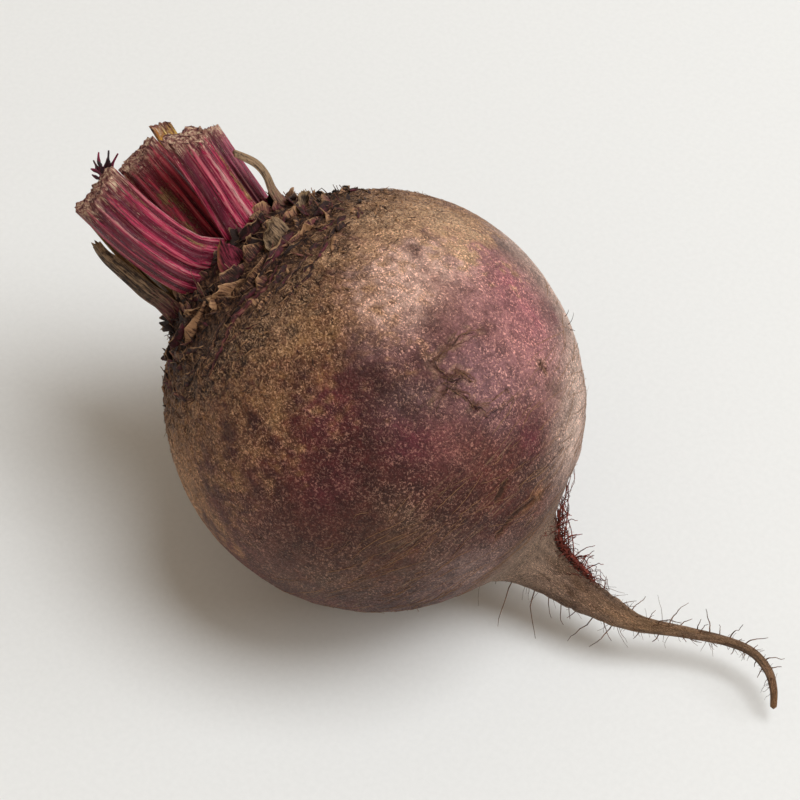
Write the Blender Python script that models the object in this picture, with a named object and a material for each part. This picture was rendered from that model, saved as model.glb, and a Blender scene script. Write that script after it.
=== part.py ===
"""A beetroot lying on its side: the swollen root with its tail and side rootlets, the cut leaf
stalks that stand on its crown, and the dried leaf bases round them.

Metres, +Z up. The root rests on a small flat spot, and the origin is the middle of that spot.
+X runs under the tail. Places on the plant are given in its own frame: ALONG the axis from the
middle of the bulb towards the crown, UP at right angles to it, and SIDE along +Y.
"""

import math
import random

import bmesh
import bpy
from mathutils import Vector

MM = 0.001

# Driving dimensions
BULB_R = 40.0 * MM  # radius of the round bulb
FLAT_DEPTH = 0.8 * MM  # how much of the sphere the resting spot takes away
AXIS_TILT = math.radians(33.5)  # the crown is raised and the tail end lowered
CLEARANCE = 0.35 * MM  # gap between pieces that touch
WALL = 1.0 * MM  # thickness of a dried leaf base
AROUND = 48  # faces round the bulb

CENTRE = Vector((0.0, 0.0, BULB_R - FLAT_DEPTH))
ALONG = Vector((-math.cos(AXIS_TILT), 0.0, math.sin(AXIS_TILT)))
UP = Vector((math.sin(AXIS_TILT), 0.0, math.cos(AXIS_TILT)))
SIDE = Vector((0.0, 1.0, 0.0))

# The profile in mm: distance from the bulb's middle towards the tail, and radius. The round
# stretch between the crown and the tail is the sphere itself.
CROWN_PROFILE = ((-42.4, 2.5), (-42.0, 6.0), (-41.2, 9.6), (-39.9, 12.6), (-38.3, 15.0), (-36.4, 17.6))
SPHERE_FROM, SPHERE_TO = -35.0, 34.0
TAIL_PROFILE = ((36.0, 17.5), (38.0, 13.6), (40.0, 10.5), (42.5, 7.8), (45.5, 6.0), (49.0, 4.9),
                (55.2, 3.85), (62.2, 2.8), (68.4, 1.8), (77.0, 1.15), (85.0, 0.92), (95.0, 0.86),
                (102.5, 0.66))
# The root's middle line is straight up to this distance from the bulb's middle, and then follows
# the tail's route, in mm in the part's frame.
STRAIGHT_TO = 33.0
TAIL_ROUTE = ((34.0, 0.0, 17.2), (37.7, -0.3, 15.5), (41.2, -0.4, 14.3), (47.9, -0.6, 12.9),
              (54.9, -0.2, 12.0), (60.8, 1.2, 10.9), (68.5, 5.0, 9.7), (75.9, 7.9, 9.4), (81.2, 8.9, 9.0),
              (85.5, 7.8, 7.9), (88.2, 5.6, 6.3), (90.0, 2.7, 4.8))
TAIL_END = TAIL_PROFILE[-1][0]

# Ring scars left by old leaves: distance along the axis, height, half width (mm), lobes, phase
SCAR_RINGS = ((-37.6, 0.7, 0.55, 7, 0.4), (-35.6, 1.1, 0.7, 5, 2.1), (-33.2, 0.9, 0.7, 6, 4.0),
              (-30.6, 0.45, 0.8, 9, 1.2))
# The two furrows that side roots grow from: angle round the axis in degrees
FURROWS = (46.0, -131.0)
FLAT_SIDE = math.radians(63)  # the bulb is 0.7 mm narrower across here
FURROW_DEPTH, FURROW_WIDTH = 0.9 * MM, 1.6 * MM
HAIR_SEED = 8
MAT_FROM, MAT_TO = 40.5, 55.5  # where the mat of root hairs lies in the upper furrow, mm


# ---------------------------------------------------------------- helpers

def clear_scene():
    for obj in list(bpy.data.objects):
        bpy.data.objects.remove(obj)


def material(name, colour, roughness):
    made = bpy.data.materials.new(name)
    made.use_nodes = True
    shader = made.node_tree.nodes["Principled BSDF"]
    shader.inputs["Base Color"].default_value = (*colour, 1.0)
    shader.inputs["Roughness"].default_value = roughness
    shader.inputs["Metallic"].default_value = 0.0
    return made


def plant_point(along, up, side):
    """A point given in mm in the plant's own frame."""
    return CENTRE + (ALONG * along + UP * up + SIDE * side) * MM


def radial(angle):
    """The direction at this angle round the axis: 0 is UP, 90 degrees is SIDE."""
    return UP * math.cos(angle) + SIDE * math.sin(angle)


def smooth_line(points, share):
    """The point at share (0 to 1) of a smooth curve through the points (Catmull-Rom)."""
    place = min(share, 0.999999) * (len(points) - 1)
    i = int(place)
    t = place - i
    p0 = points[i - 1] if i else points[0] * 2 - points[1]
    p1, p2 = points[i], points[i + 1]
    p3 = points[i + 2] if i + 2 < len(points) else p2 * 2 - p1
    return 0.5 * (p1 * 2 + (p2 - p0) * t + (p0 * 2 - p1 * 5 + p2 * 4 - p3) * t ** 2
                  + (p1 * 3 - p0 - p2 * 3 + p3) * t ** 3)


def smooth_value(pairs, x):
    """Reads a smooth curve through (x, value) pairs."""
    xs = [pair[0] for pair in pairs]
    if x <= xs[0]:
        return pairs[0][1]
    if x >= xs[-1]:
        return pairs[-1][1]
    i = max(k for k in range(len(xs) - 1) if xs[k] <= x)

    def slope(k):
        if k in (0, len(xs) - 1):
            return 0.0 if k else (pairs[1][1] - pairs[0][1]) / (xs[1] - xs[0])
        before = (pairs[k][1] - pairs[k - 1][1]) / (xs[k] - xs[k - 1])
        after = (pairs[k + 1][1] - pairs[k][1]) / (xs[k + 1] - xs[k])
        return 0.0 if before * after <= 0 else 2 * before * after / (before + after)

    h = xs[i + 1] - xs[i]
    t = (x - xs[i]) / h
    return ((2 * t ** 3 - 3 * t ** 2 + 1) * pairs[i][1] + (t ** 3 - 2 * t ** 2 + t) * h * slope(i)
            + (3 * t ** 2 - 2 * t ** 3) * pairs[i + 1][1] + (t ** 3 - t ** 2) * h * slope(i + 1))


def bridge(bm, lower, upper):
    """Faces between two rings, the second with as many points or half as many."""
    n, m = len(lower), len(upper)
    for i in range(m):
        j = (i + 1) % m
        if n == m:
            bm.faces.new((lower[i], lower[j], upper[j], upper[i]))
        else:
            first, middle, last = lower[2 * i], lower[2 * i + 1], lower[(2 * i + 2) % n]
            bm.faces.new((first, middle, upper[i]))
            bm.faces.new((middle, upper[j], upper[i]))
            bm.faces.new((middle, last, upper[j]))


def loft(name, rings, look, start_cap=True):
    """A closed mesh through rings of points, with flat caps."""
    bm = bmesh.new()
    rows = [[bm.verts.new(p) for p in ring] for ring in rings]
    for lower, upper in zip(rows, rows[1:]):
        bridge(bm, lower, upper)
    if start_cap:
        bm.faces.new(list(reversed(rows[0])))
    bm.faces.new(rows[-1])
    bmesh.ops.triangulate(bm, faces=bm.faces[:])
    bmesh.ops.recalc_face_normals(bm, faces=bm.faces[:])
    return finish(name, bm, look)


def finish(name, bm, look):
    mesh = bpy.data.meshes.new(name)
    bm.to_mesh(mesh)
    bm.free()
    mesh.shade_smooth()
    mesh.set_sharp_from_angle(angle=math.radians(50))
    mesh.materials.append(look)
    obj = bpy.data.objects.new(name, mesh)
    bpy.context.scene.collection.objects.link(obj)
    return obj


def as_cutter(obj):
    obj.hide_render = True
    obj.display_type = "WIRE"
    return obj


def cut(obj, cutter):
    boolean = obj.modifiers.new("clear of " + cutter.name, "BOOLEAN")
    boolean.operation = "DIFFERENCE"
    boolean.object = cutter
    boolean.solver = "EXACT"


def fuse(obj, repeats, solver="EXACT"):
    """Joins the repeats to obj in one Boolean union, applies it and removes them."""
    group = bpy.data.collections.new(obj.name + " repeats")
    bpy.context.scene.collection.children.link(group)
    for piece in repeats:
        group.objects.link(piece)
    union = obj.modifiers.new("join", "BOOLEAN")
    union.operation = "UNION"
    union.operand_type = "COLLECTION"
    union.collection = group
    union.solver = solver
    with bpy.context.temp_override(object=obj, active_object=obj):
        bpy.ops.object.modifier_apply(modifier=union.name)
    for piece in repeats:
        bpy.data.objects.remove(piece)
    bpy.data.collections.remove(group)


# ---------------------------------------------------------------- the root

def profile_radius(station):
    """Radius in mm at a distance in mm from the bulb's middle, towards the tail."""
    if station < SPHERE_FROM:
        edge = math.sqrt((BULB_R / MM) ** 2 - SPHERE_FROM ** 2)
        return smooth_value(CROWN_PROFILE + ((SPHERE_FROM, edge),), station)
    if station > SPHERE_TO:
        edge = math.sqrt((BULB_R / MM) ** 2 - SPHERE_TO ** 2)
        return smooth_value(((SPHERE_TO, edge),) + TAIL_PROFILE, station)
    return math.sqrt((BULB_R / MM) ** 2 - station ** 2)


def swell(station, angle):
    """Slow unevenness of the bulb, in mm: it fades out at the tail."""
    fade = max(0.0, 1 - max(0.0, station - 20) / 22)
    flatter = -0.35 * math.cos(2 * (angle - FLAT_SIDE))
    lumps = 0.12 * math.sin(3 * angle + station / 14) + 0.1 * math.sin(5 * angle - station / 9 + 1.0)
    return fade * (flatter + lumps)


def scars(station, angle):
    """Ring ridges on the crown, in mm, wavy and broken into lobes."""
    total = 0.0
    for place, height, width, lobes, phase in SCAR_RINGS:
        middle = place + 0.5 * math.sin(3 * angle + phase)
        rise = math.exp(-((station - middle) / width) ** 2)
        total += height * rise * (0.65 + 0.35 * math.sin(lobes * angle + phase))
    return total


def furrow(station, angle, radius):
    """The two furrows, in mm: each starts low on the bulb and fades along the tail."""
    start = min(1.0, max(0.0, (station - 26) / 12))
    end = min(1.0, max(0.0, (80 - station) / 30))
    total = 0.0
    for degrees in FURROWS:
        away = (angle - math.radians(degrees) + math.pi) % (2 * math.pi) - math.pi
        across = away * radius * MM
        total += math.exp(-(across / FURROW_WIDTH) ** 2)
    return -min(FURROW_DEPTH / MM, 0.22 * radius) * start * end * total


def spine(station):
    """Middle line of the root: straight through the bulb, then the tail's own route."""
    if station <= STRAIGHT_TO:
        return CENTRE - ALONG * station * MM
    route = [CENTRE - ALONG * k * STRAIGHT_TO / 4 * MM for k in (3, 4)] + [Vector(p) * MM for p in TAIL_ROUTE]
    left = (station - STRAIGHT_TO) * MM
    k = 1
    while k < len(route) - 2 and left > (route[k + 1] - route[k]).length:
        left -= (route[k + 1] - route[k]).length
        k += 1
    return smooth_line(route, (k + left / (route[k + 1] - route[k]).length) / (len(route) - 1))


def ring(station, count, clearance=0.0):
    """One ring of the root's surface, square to its middle line."""
    step = 0.2
    heading = (spine(station + step) - spine(station - step)).normalized()
    turn = (-ALONG).rotation_difference(heading)
    radius = profile_radius(station)
    points = []
    for k in range(count):
        angle = 2 * math.pi * k / count
        reach = radius + swell(station, angle) + scars(station, angle) + furrow(station, angle, radius)
        points.append(spine(station) + turn @ radial(angle) * (reach * MM + clearance))
    return points


def stations(first, last, step):
    count = max(1, round((last - first) / step))
    return [first + (last - first) * k / count for k in range(count)]


def tail_rootlets(look):
    """Thin side roots, most of them in the two furrows: many short ones, a few long."""
    draw = random.Random(11)
    made = []
    for k in range(50):
        station = 39 + 58 * (k + draw.random()) / 50
        near = 1 - (station - 39) / 58
        degrees = FURROWS[k % 2] + draw.uniform(-26, 26) if draw.random() < 0.7 else draw.uniform(0, 360)
        length = 1.2 + (2.2 + 4.4 * near) * draw.random() ** 2
        if station > MAT_TO + 2 or abs((degrees - FURROWS[0] + 180) % 360 - 180) > 55:  # clear of the mat
            made.append(rootlet(f"rootlet_{k}", station, degrees, length, draw, look))
    return [piece for piece in made if piece]


def rootlet(name, station, degrees, length, draw, look):
    """One side root: a three-sided needle that starts inside the tail and bends as it goes."""
    heading = (spine(station + 0.2) - spine(station - 0.2)).normalized()
    turn = (-ALONG).rotation_difference(heading)
    out = turn @ radial(math.radians(degrees))
    across = heading.cross(out)
    lean, bend = draw.uniform(-0.5, 0.9), draw.uniform(-0.6, 0.6)
    start = spine(station) + out * profile_radius(station) * MM * 0.35
    reach = profile_radius(station) * 0.65 + length
    rings = []
    for k in range(4):
        t = k / 3
        middle = start + (out * t + heading * lean * t ** 2 + across * bend * t ** 2) * reach * MM
        thick = (0.30 - 0.18 * t) * MM
        rings.append([middle + (heading * math.cos(q) + across * math.sin(q)) * thick
                      for q in (0.3, 0.3 + 2 * math.pi / 3, 0.3 + 4 * math.pi / 3)])
    if min(p.z for points in rings for p in points) < 1.5 * MM:
        return None
    return loft(name, rings, look)


def root(look):
    """Crown, bulb and tail in one skin, cut flat where it rests."""
    rings = [ring(s, AROUND) for s in stations(-42.4, -38.6, 0.95) + stations(-38.6, -29.0, 0.6)]
    rings += [ring(s, AROUND) for s in stations(-29.0, 29.0, 4.1) + stations(29.0, 41.0, 1.3)]
    rings += [ring(s, AROUND // 2) for s in stations(41.8, 56.0, 1.9)]
    rings += [ring(s, AROUND // 4) for s in stations(57.2, TAIL_END, 2.1) + [TAIL_END]]
    body = loft("root", rings, look)
    fuse(body, tail_rootlets(look))
    bm = bmesh.new()
    bm.from_mesh(body.data)
    geometry = bm.verts[:] + bm.edges[:] + bm.faces[:]
    bisected = bmesh.ops.bisect_plane(bm, geom=geometry, plane_co=(0, 0, 0), plane_no=(0, 0, 1),
                                      clear_inner=True)
    rim = [e for e in bisected["geom_cut"] if isinstance(e, bmesh.types.BMEdge)]
    bmesh.ops.contextual_create(bm, geom=rim)
    bmesh.ops.triangulate(bm, faces=bm.faces[:])
    bmesh.ops.recalc_face_normals(bm, faces=bm.faces[:])
    bm.to_mesh(body.data)
    bm.free()
    return body


def crown_cutter(look):
    """The crown's surface moved out by the clearance, for cutting what stands on it."""
    rings = [ring(s, AROUND, CLEARANCE) for s in stations(-42.4, -38.6, 0.95) + stations(-38.6, -29.0, 0.6)]
    rings += [ring(s, AROUND, CLEARANCE) for s in stations(-29.0, 0.0, 4.1)]
    top = [p + ALONG * CLEARANCE for p in rings[0]]
    return as_cutter(loft("crown_cutter", [top] + rings[1:], look))


# ---------------------------------------------------------------- stalks and dried leaf bases

def section(width, thick, ribs, rib_height, hollow, count):
    """A leaf stalk's outline: ribbed and round outside, with a shallow channel inside."""
    points = []
    for k in range(count):
        angle = 2 * math.pi * k / count
        across, out = math.cos(angle), math.sin(angle)
        if out >= 0:
            scale = 1 + rib_height * out ** 0.5 * math.cos(2 * ribs * angle)
            points.append((width / 2 * across * scale, 0.62 * thick * out * scale))
        else:
            points.append((width / 2 * across, 0.38 * thick * out * (1 - hollow * (1 - across ** 2))))
    return points


def stalk(name, look, route, face, width, thick, ribs=5, rib_height=0.05, hollow=0.75, slant=0.0,
          bevel=0.0, flare=1.0, taper=0.0, rows=7, count=28, grow=0.0):
    """A leaf stalk carried along route, a list of (along, up, side) points in mm.

    face is the angle round the axis, in degrees, that its ribbed outside looks towards. The last
    ring is the cut end, tilted sideways by slant and from outside to inside by bevel. flare
    widens the foot and taper narrows the end. grow thickens it all round.
    """
    line = [plant_point(*p) for p in route]
    out_hint = radial(math.radians(face))
    rings = []
    for row in range(rows):
        share = row / (rows - 1)
        middle = smooth_line(line, share)
        heading = (smooth_line(line, min(1.0, share + 0.02)) - smooth_line(line, max(0.0, share - 0.02)))
        heading.normalize()
        out = (out_hint - heading * out_hint.dot(heading)).normalized()
        across = heading.cross(out)
        size = 1 + (flare - 1) * (1 - share) ** 2 - taper * share ** 4
        outline = section(width * size + 2 * grow, thick + 2 * grow, ribs, rib_height, hollow, count)
        end = 1.0 if row == rows - 1 else 0.0
        rings.append([middle + (across * p + out * q + heading * end * (slant * p - bevel * q)) * MM
                      for p, q in outline])
    return loft(name, rings, look)


# name, route (mm in the plant's frame), face, width, thickness, slant, bevel, flare, rows
STALKS = (
    ("stalk_front",
     ((38.0, 3.4, -4.6), (41.5, 3.0, -7.2), (45.3, 2.8, -9.0), (53.9, 2.4, -10.6), (65.4, 1.9, -10.8)),
     -38, 10.4, 6.2, 0.06, 0.42, 1.1, 9),
    ("stalk_right",
     ((38.0, 5.8, 3.0), (44.7, 6.8, 3.6), (51.4, 8.6, 4.1), (61.4, 10.8, 4.9)),
     -2, 8.3, 5.4, -0.28, 0.55, 1.25, 7),
    ("stalk_middle",
     ((38.5, -1.6, 0.2), (45.1, -1.3, 0.6), (54.8, -1.2, 1.4), (64.2, -1.3, 2.0)),
     -28, 8.8, 5.2, 0.1, 0.5, 0.9, 6),
    ("stalk_far_right",
     ((38.0, 2.2, 9.0), (42.0, 2.9, 9.6), (50.3, 3.9, 10.7), (58.6, 4.8, 11.9)),
     50, 7.0, 4.6, -0.25, 0.3, 1.1, 6),
    ("stalk_rear_left",
     ((38.5, -6.6, -3.2), (46.0, -6.4, -3.8), (56.0, -5.8, -3.4), (64.6, -5.4, -3.2)),
     -118, 6.2, 4.2, 0.1, 0.1, 1.0, 6),
    ("stalk_young",
     ((39.0, -6.4, 6.2), (46.0, -5.8, 7.8), (56.0, -5.0, 9.8), (64.4, -4.4, 11.6)),
     150, 3.6, 3.2, 0.35, 0.2, 1.3, 6),
    ("stalk_left",
     ((37.0, -9.4, -8.8), (43.0, -10.0, -9.0), (52.0, -10.6, -8.8), (63.2, -10.4, -7.9)),
     -146, 5.4, 3.0, 0.2, 0.0, 1.2, 6),
)

# name, route, face, width, thickness: old stalks dried to thin strips
DRY_STRIPS = (
    ("dry_stalk_left",
     ((34.0, -5.8, -13.2), (39.2, -5.4, -13.6), (42.6, -4.5, -14.2), (46.6, -4.1, -15.0),
      (51.0, -4.2, -15.3), (55.3, -4.8, -15.3), (59.1, -5.0, -14.7)),
     -76, 4.4, 1.1),
    ("dry_stalk_right",
     ((33.0, 8.0, 12.6), (36.5, 8.2, 11.6), (39.4, 9.0, 10.8), (42.4, 10.2, 10.7),
      (45.2, 11.3, 11.1), (47.9, 12.0, 10.9), (50.7, 12.3, 9.8), (53.3, 12.4, 8.6)),
     30, 3.2, 1.0),
)

# Torn dry leaf bases round the crown: name, angle, foot's distance along and from the axis, height,
# width, lean outwards, lean sideways (mm)
DRY_BASES = (
    ("sheath_red", -30, 34.5, 14.6, 10.0, 8.6, 1.6, 2.2),
    ("dry_base_grey", 2, 33.4, 17.0, 8.6, 6.4, 2.8, -1.8),
    ("dry_base_dark", -9, 34.5, 14.2, 8.0, 6.0, 0.6, -0.4),
    ("dry_base_tan", 14, 30.5, 19.4, 4.8, 7.0, 2.4, 1.4),
    ("dry_base_ochre", -45, 32.0, 17.6, 7.0, 9.0, 1.6, -2.4),
    ("dry_base_brown", -70, 33.5, 16.0, 7.0, 7.5, 1.4, 1.0),
    ("dry_base_top", 42, 32.6, 16.4, 6.8, 8.5, 1.2, 1.6),
    ("dry_base_back_1", 84, 33.5, 15.4, 6.0, 8.5, 1.2, -1.0),
    ("dry_base_back_2", 113, 33.5, 15.6, 6.2, 7.5, 1.6, 0.8),
    ("dry_base_back_3", 141, 33.5, 15.6, 8.6, 8.5, 1.8, 1.2),
    ("dry_base_back_4", 169, 33.5, 15.8, 7.0, 7.5, 2.2, -1.2),
    ("dry_base_back_5", -163, 33.5, 15.8, 8.0, 8.0, 1.8, 0.8),
    ("dry_base_back_6", -136, 33.5, 15.4, 5.8, 7.0, 0.9, -0.6),
)


def dry_base(name, degrees, along, reach, height, width, lean, skew, look, grow=0.0):
    """A thin torn flap that stands up from the crown's edge and curls outwards."""
    angle = math.radians(degrees)
    outward, sideways = radial(angle), radial(angle + math.pi / 2)
    line = []
    for share, leaning in ((0.0, 0.0), (0.35, 0.25), (0.7, 0.5), (1.0, 1.0)):
        line.append(CENTRE + (ALONG * (along + height * share) + outward * (reach + lean * leaning)
                              + sideways * skew * share ** 2) * MM)
    rings = []
    rows = 7
    for row in range(rows):
        share = row / (rows - 1)
        middle = smooth_line(line, share)
        heading = (smooth_line(line, min(1.0, share + 0.02)) - smooth_line(line, max(0.0, share - 0.02)))
        heading.normalize()
        out = (outward - heading * outward.dot(heading)).normalized()
        across = heading.cross(out)
        tatter = 0.07 * math.sin(9 * share + degrees)
        half = width / 2 * (0.82 + 0.36 * math.sin(2.6 * share + 0.4) - 0.5 * share ** 3 + tatter)
        points = []
        for k in range(12):
            q = 2 * math.pi * k / 12
            p = (half + grow) * math.cos(q)
            hug = -0.028 * p ** 2 + 0.3 * share * math.sin(1.5 * p + degrees)
            points.append(middle + (across * p + out * (hug + (WALL / MM / 2 + grow) * math.sin(q))) * MM)
        rings.append(points)
    return loft(name, rings, look)


# The youngest leaves: where each narrow tip ends, from the top of the stem (along, up, side in mm)
HEART_TIPS = ((2.2, 2.1, 3.4), (0.6, 3.1, 3.8), (2.3, 1.6, 0.5), (2.2, 0.4, -1.1), (1.2, -0.1, -1.5),
              (3.2, 0.4, 2.5), (2.8, -1.2, 1.3), (1.4, 0.1, 3.4))


def heart_shoot(look):
    """A thin stem between the stalks with a tuft of narrow pointed leaves on top."""
    route = ((39.0, -9.0, -2.2), (48.0, -9.8, -2.2), (58.0, -10.2, -2.0), (65.6, -10.0, -1.6))
    stem = stalk("heart_shoot", look, route, -150, 2.4, 2.0, ribs=2, hollow=0.2, count=10, rows=6)
    top = plant_point(*route[-1])
    tips = []
    for k, (along, up, side) in enumerate(HEART_TIPS):
        reach = (ALONG * along + UP * up + SIDE * side) * MM
        heading = reach.normalized()
        across = heading.cross(radial(0.7 * k)).normalized()
        other = heading.cross(across)
        rings = []
        for share, half in ((0.0, 0.5), (0.4, 0.75), (0.75, 0.5), (1.0, 0.2)):
            middle = top - ALONG * 0.9 * MM + (reach + ALONG * 0.9 * MM) * share
            rings.append([middle + (across * math.cos(q) * half + other * math.sin(q) * min(half, 0.4)) * MM
                          for q in (0.0, math.pi / 2, math.pi, 3 * math.pi / 2)])
        tips.append(loft(f"leaf_tip_{k}", rings, look))
    fuse(stem, tips)
    return stem


# ---------------------------------------------------------------- the mat of root hairs

def surface_point(station, degrees, above=0.0):
    """A point this many mm above the root's surface, and the directions out and along there."""
    angle = math.radians(degrees)
    heading = (spine(station + 0.2) - spine(station - 0.2)).normalized()
    turn = (-ALONG).rotation_difference(heading)
    out = turn @ radial(angle)
    radius = profile_radius(station)
    reach = radius + swell(station, angle) + furrow(station, angle, radius) + above
    return spine(station) + out * reach * MM, out, heading


def hair_mat(look):
    """A reddish cushion of fine roots in the upper furrow, with hairs that bridge the hollow."""
    rings = []
    for k in range(9):
        share = k / 8
        middle, out, heading = surface_point(MAT_FROM + (MAT_TO - MAT_FROM) * share, FURROWS[0], 1.2)
        across = heading.cross(out)
        size = math.sin(math.pi * (0.12 + 0.8 * share)) ** 0.6
        ripple = 0.12 * math.sin(7 * share * math.pi)
        rings.append([middle + (across * math.cos(q) * (1.1 + ripple) + out * math.sin(q) * 0.62) * size * MM
                      for q in [2 * math.pi * j / 8 for j in range(8)]])
    cushion = loft("root_hair_mat", rings, look)
    draw = random.Random(HAIR_SEED)
    hairs = [hair(f"hair_{k}", k, draw, look) for k in range(22)]
    fuse(cushion, hairs, "MANIFOLD")
    return cushion


def hair(name, k, draw, look):
    """One hair of the mat: the first six arch up to the bulb, the others are short and loose."""
    if k < 6:
        first = 44.0 + 1.8 * k
        foot, out, heading = surface_point(first, FURROWS[0] + draw.uniform(-3, 3), 1.0)
        last = surface_point(38.6 - 0.35 * k + draw.uniform(-0.4, 0.4), FURROWS[0] + draw.uniform(-2, 10), 0.75)
        tip, bow = last[0], out * (0.3 + 0.12 * k) * MM
    else:
        station = draw.uniform(42.0, 54.5)
        foot, out, heading = surface_point(station, FURROWS[0], 1.1)
        across = heading.cross(out)
        reach = out * draw.uniform(1.6, 4.6) + across * draw.uniform(-1.0, 1.0)
        reach += heading * draw.uniform(-1.2, 3.0)
        tip, bow = foot + reach * MM, across * draw.uniform(-0.5, 0.5) * MM
    rings = []
    for row in range(4):
        share = row / 3
        middle = foot + (tip - foot) * share + bow * 4 * share * (1 - share)
        heading = (tip - foot + bow * 4 * (1 - 2 * share)).normalized()
        side = heading.cross(out).normalized()
        other = heading.cross(side)
        thick = (0.26 - 0.12 * share) * MM
        rings.append([middle + (side * math.cos(q) + other * math.sin(q)) * thick
                      for q in (0.2, 0.2 + 2 * math.pi / 3, 0.2 + 4 * math.pi / 3)])
    return loft(name, rings, look)


def main():
    clear_scene()
    skin = material("beet skin", (0.145, 0.052, 0.050), 0.6)
    stalk_red = material("leaf stalk", (0.26, 0.012, 0.050), 0.4)
    young = material("young stalk", (0.62, 0.25, 0.07), 0.45)
    husk = material("dried leaf", (0.20, 0.13, 0.075), 0.85)
    leaf = material("heart leaf", (0.10, 0.008, 0.022), 0.5)
    sheath = material("red leaf base", (0.18, 0.02, 0.035), 0.6)
    roots_red = material("root hairs", (0.16, 0.035, 0.020), 0.8)

    root(skin)
    crown = crown_cutter(skin)
    cutters = [crown]
    for name, route, face, width, thick, slant, bevel, flare, rows in STALKS:
        look = young if name == "stalk_young" else stalk_red
        facts = {"slant": slant, "bevel": bevel, "flare": flare, "rows": rows}
        piece = stalk(name, look, route, face, width, thick, **facts)
        for cutter in cutters:
            cut(piece, cutter)
        room = stalk(name + "_room", look, route, face, width, thick, grow=CLEARANCE / MM, **facts)
        cutters.append(as_cutter(room))
    shoot = heart_shoot(leaf)
    for cutter in cutters:
        cut(shoot, cutter)
    for name, route, face, width, thick in DRY_STRIPS:
        facts = {"ribs": 3, "rib_height": 0.08, "hollow": 0.3, "flare": 1.35, "taper": 0.4,
                 "rows": 11, "count": 14}
        strip = stalk(name, husk, route, face, width, thick, **facts)
        for cutter in cutters:
            cut(strip, cutter)
        room = stalk(name + "_room", husk, route, face, width, thick, grow=CLEARANCE / MM, **facts)
        cutters.append(as_cutter(room))
    for facts in DRY_BASES:
        flap = dry_base(*facts, sheath if facts[0] == "sheath_red" else husk)
        for cutter in cutters:
            cut(flap, cutter)
        room = dry_base(facts[0] + "_room", *facts[1:], husk, grow=CLEARANCE / MM)
        cutters.append(as_cutter(room))
    hair_mat(roots_red)


main()
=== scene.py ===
# %% [markdown]
# # A beetroot
#
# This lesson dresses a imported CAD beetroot: a round root with a corky crown, cut leaf stalks, torn
# dry leaf bases and a thin hairy tail. Each step says what the piece is on the real plant, how it
# could be made in Blender, and why it is made this way. The frame gives the places; every finer
# piece follows the CAD solid that it stands for.

# %% Load the frame
import math
import random

import bpy
import numpy as np
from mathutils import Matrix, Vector


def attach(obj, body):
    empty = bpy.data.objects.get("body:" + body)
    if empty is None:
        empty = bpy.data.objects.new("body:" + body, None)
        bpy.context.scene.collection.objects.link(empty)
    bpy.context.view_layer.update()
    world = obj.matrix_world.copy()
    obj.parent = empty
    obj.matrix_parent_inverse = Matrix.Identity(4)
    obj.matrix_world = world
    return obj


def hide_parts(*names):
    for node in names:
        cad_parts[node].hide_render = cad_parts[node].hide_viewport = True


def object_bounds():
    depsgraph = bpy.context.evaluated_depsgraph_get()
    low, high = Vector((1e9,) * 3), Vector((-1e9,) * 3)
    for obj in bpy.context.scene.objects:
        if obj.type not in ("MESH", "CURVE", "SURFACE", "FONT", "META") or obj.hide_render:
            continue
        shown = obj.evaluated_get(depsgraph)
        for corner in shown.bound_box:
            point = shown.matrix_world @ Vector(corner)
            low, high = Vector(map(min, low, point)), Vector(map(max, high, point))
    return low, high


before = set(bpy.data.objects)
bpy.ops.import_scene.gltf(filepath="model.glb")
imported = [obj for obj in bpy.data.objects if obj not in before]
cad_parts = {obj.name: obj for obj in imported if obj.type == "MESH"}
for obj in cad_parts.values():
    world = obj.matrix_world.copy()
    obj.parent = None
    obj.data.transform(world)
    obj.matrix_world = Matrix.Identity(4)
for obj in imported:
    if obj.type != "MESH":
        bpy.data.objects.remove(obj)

MM = 0.001
cad_low, cad_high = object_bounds()
BOX_LOW, BOX_HIGH = np.array(cad_low) / MM, np.array(cad_high) / MM
print("CAD box in mm:", BOX_LOW.round(1), BOX_HIGH.round(1))

# %% [markdown]
# ## The plant's own frame
#
# Everything on a beetroot is arranged round one axis, from the tail through the bulb to the crown.
# Working in world coordinates would hide that, so places are given as a station (mm from the
# bulb's middle towards the tail) and an angle round the axis. ALONG points to the crown, UP is at
# right angles to it, and SIDE is level.

# %% The axis, and smooth curves through chosen points
BULB_R = 40.0  # mm
FLAT_DEPTH = 0.8  # the resting spot cuts this much off the sphere
AXIS_TILT = math.radians(33.5)
CENTRE = np.array([0.0, 0.0, BULB_R - FLAT_DEPTH])
ALONG = np.array([-math.cos(AXIS_TILT), 0.0, math.sin(AXIS_TILT)])
UP = np.array([math.sin(AXIS_TILT), 0.0, math.cos(AXIS_TILT)])
SIDE = np.array([0.0, 1.0, 0.0])


def unit(vectors):
    """The vectors, each divided by its length."""
    return vectors / np.maximum(np.linalg.norm(vectors, axis=-1, keepdims=True), 1e-9)


def radial(angle):
    """Direction at an angle round the axis: UP times its cosine plus SIDE times its sine."""
    angle = np.asarray(angle, float)[..., None]
    return np.cos(angle) * UP + np.sin(angle) * SIDE


def smoothstep(low, high, value):
    """0 below low, 1 above high, and three t squared minus two t cubed between them."""
    t = np.clip((np.asarray(value, float) - low) / (high - low), 0.0, 1.0)
    return t * t * (3 - 2 * t)


def turned_from(angle, middle):
    """How far an angle is turned from another, between minus and plus half a turn."""
    return (angle - middle + math.pi) % (2 * math.pi) - math.pi


def lobe(turn, middle, spread):
    """1 where the turn round the axis is the middle in degrees, falling smoothly to 0."""
    return np.exp((np.cos(turn - math.radians(middle)) - 1) / (math.radians(spread) ** 2 / 2))


def crownwards(normals):
    """Directions along the skin towards the crown: the axis less its share along each normal."""
    return unit(ALONG - normals * (normals @ ALONG)[:, None])


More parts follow.
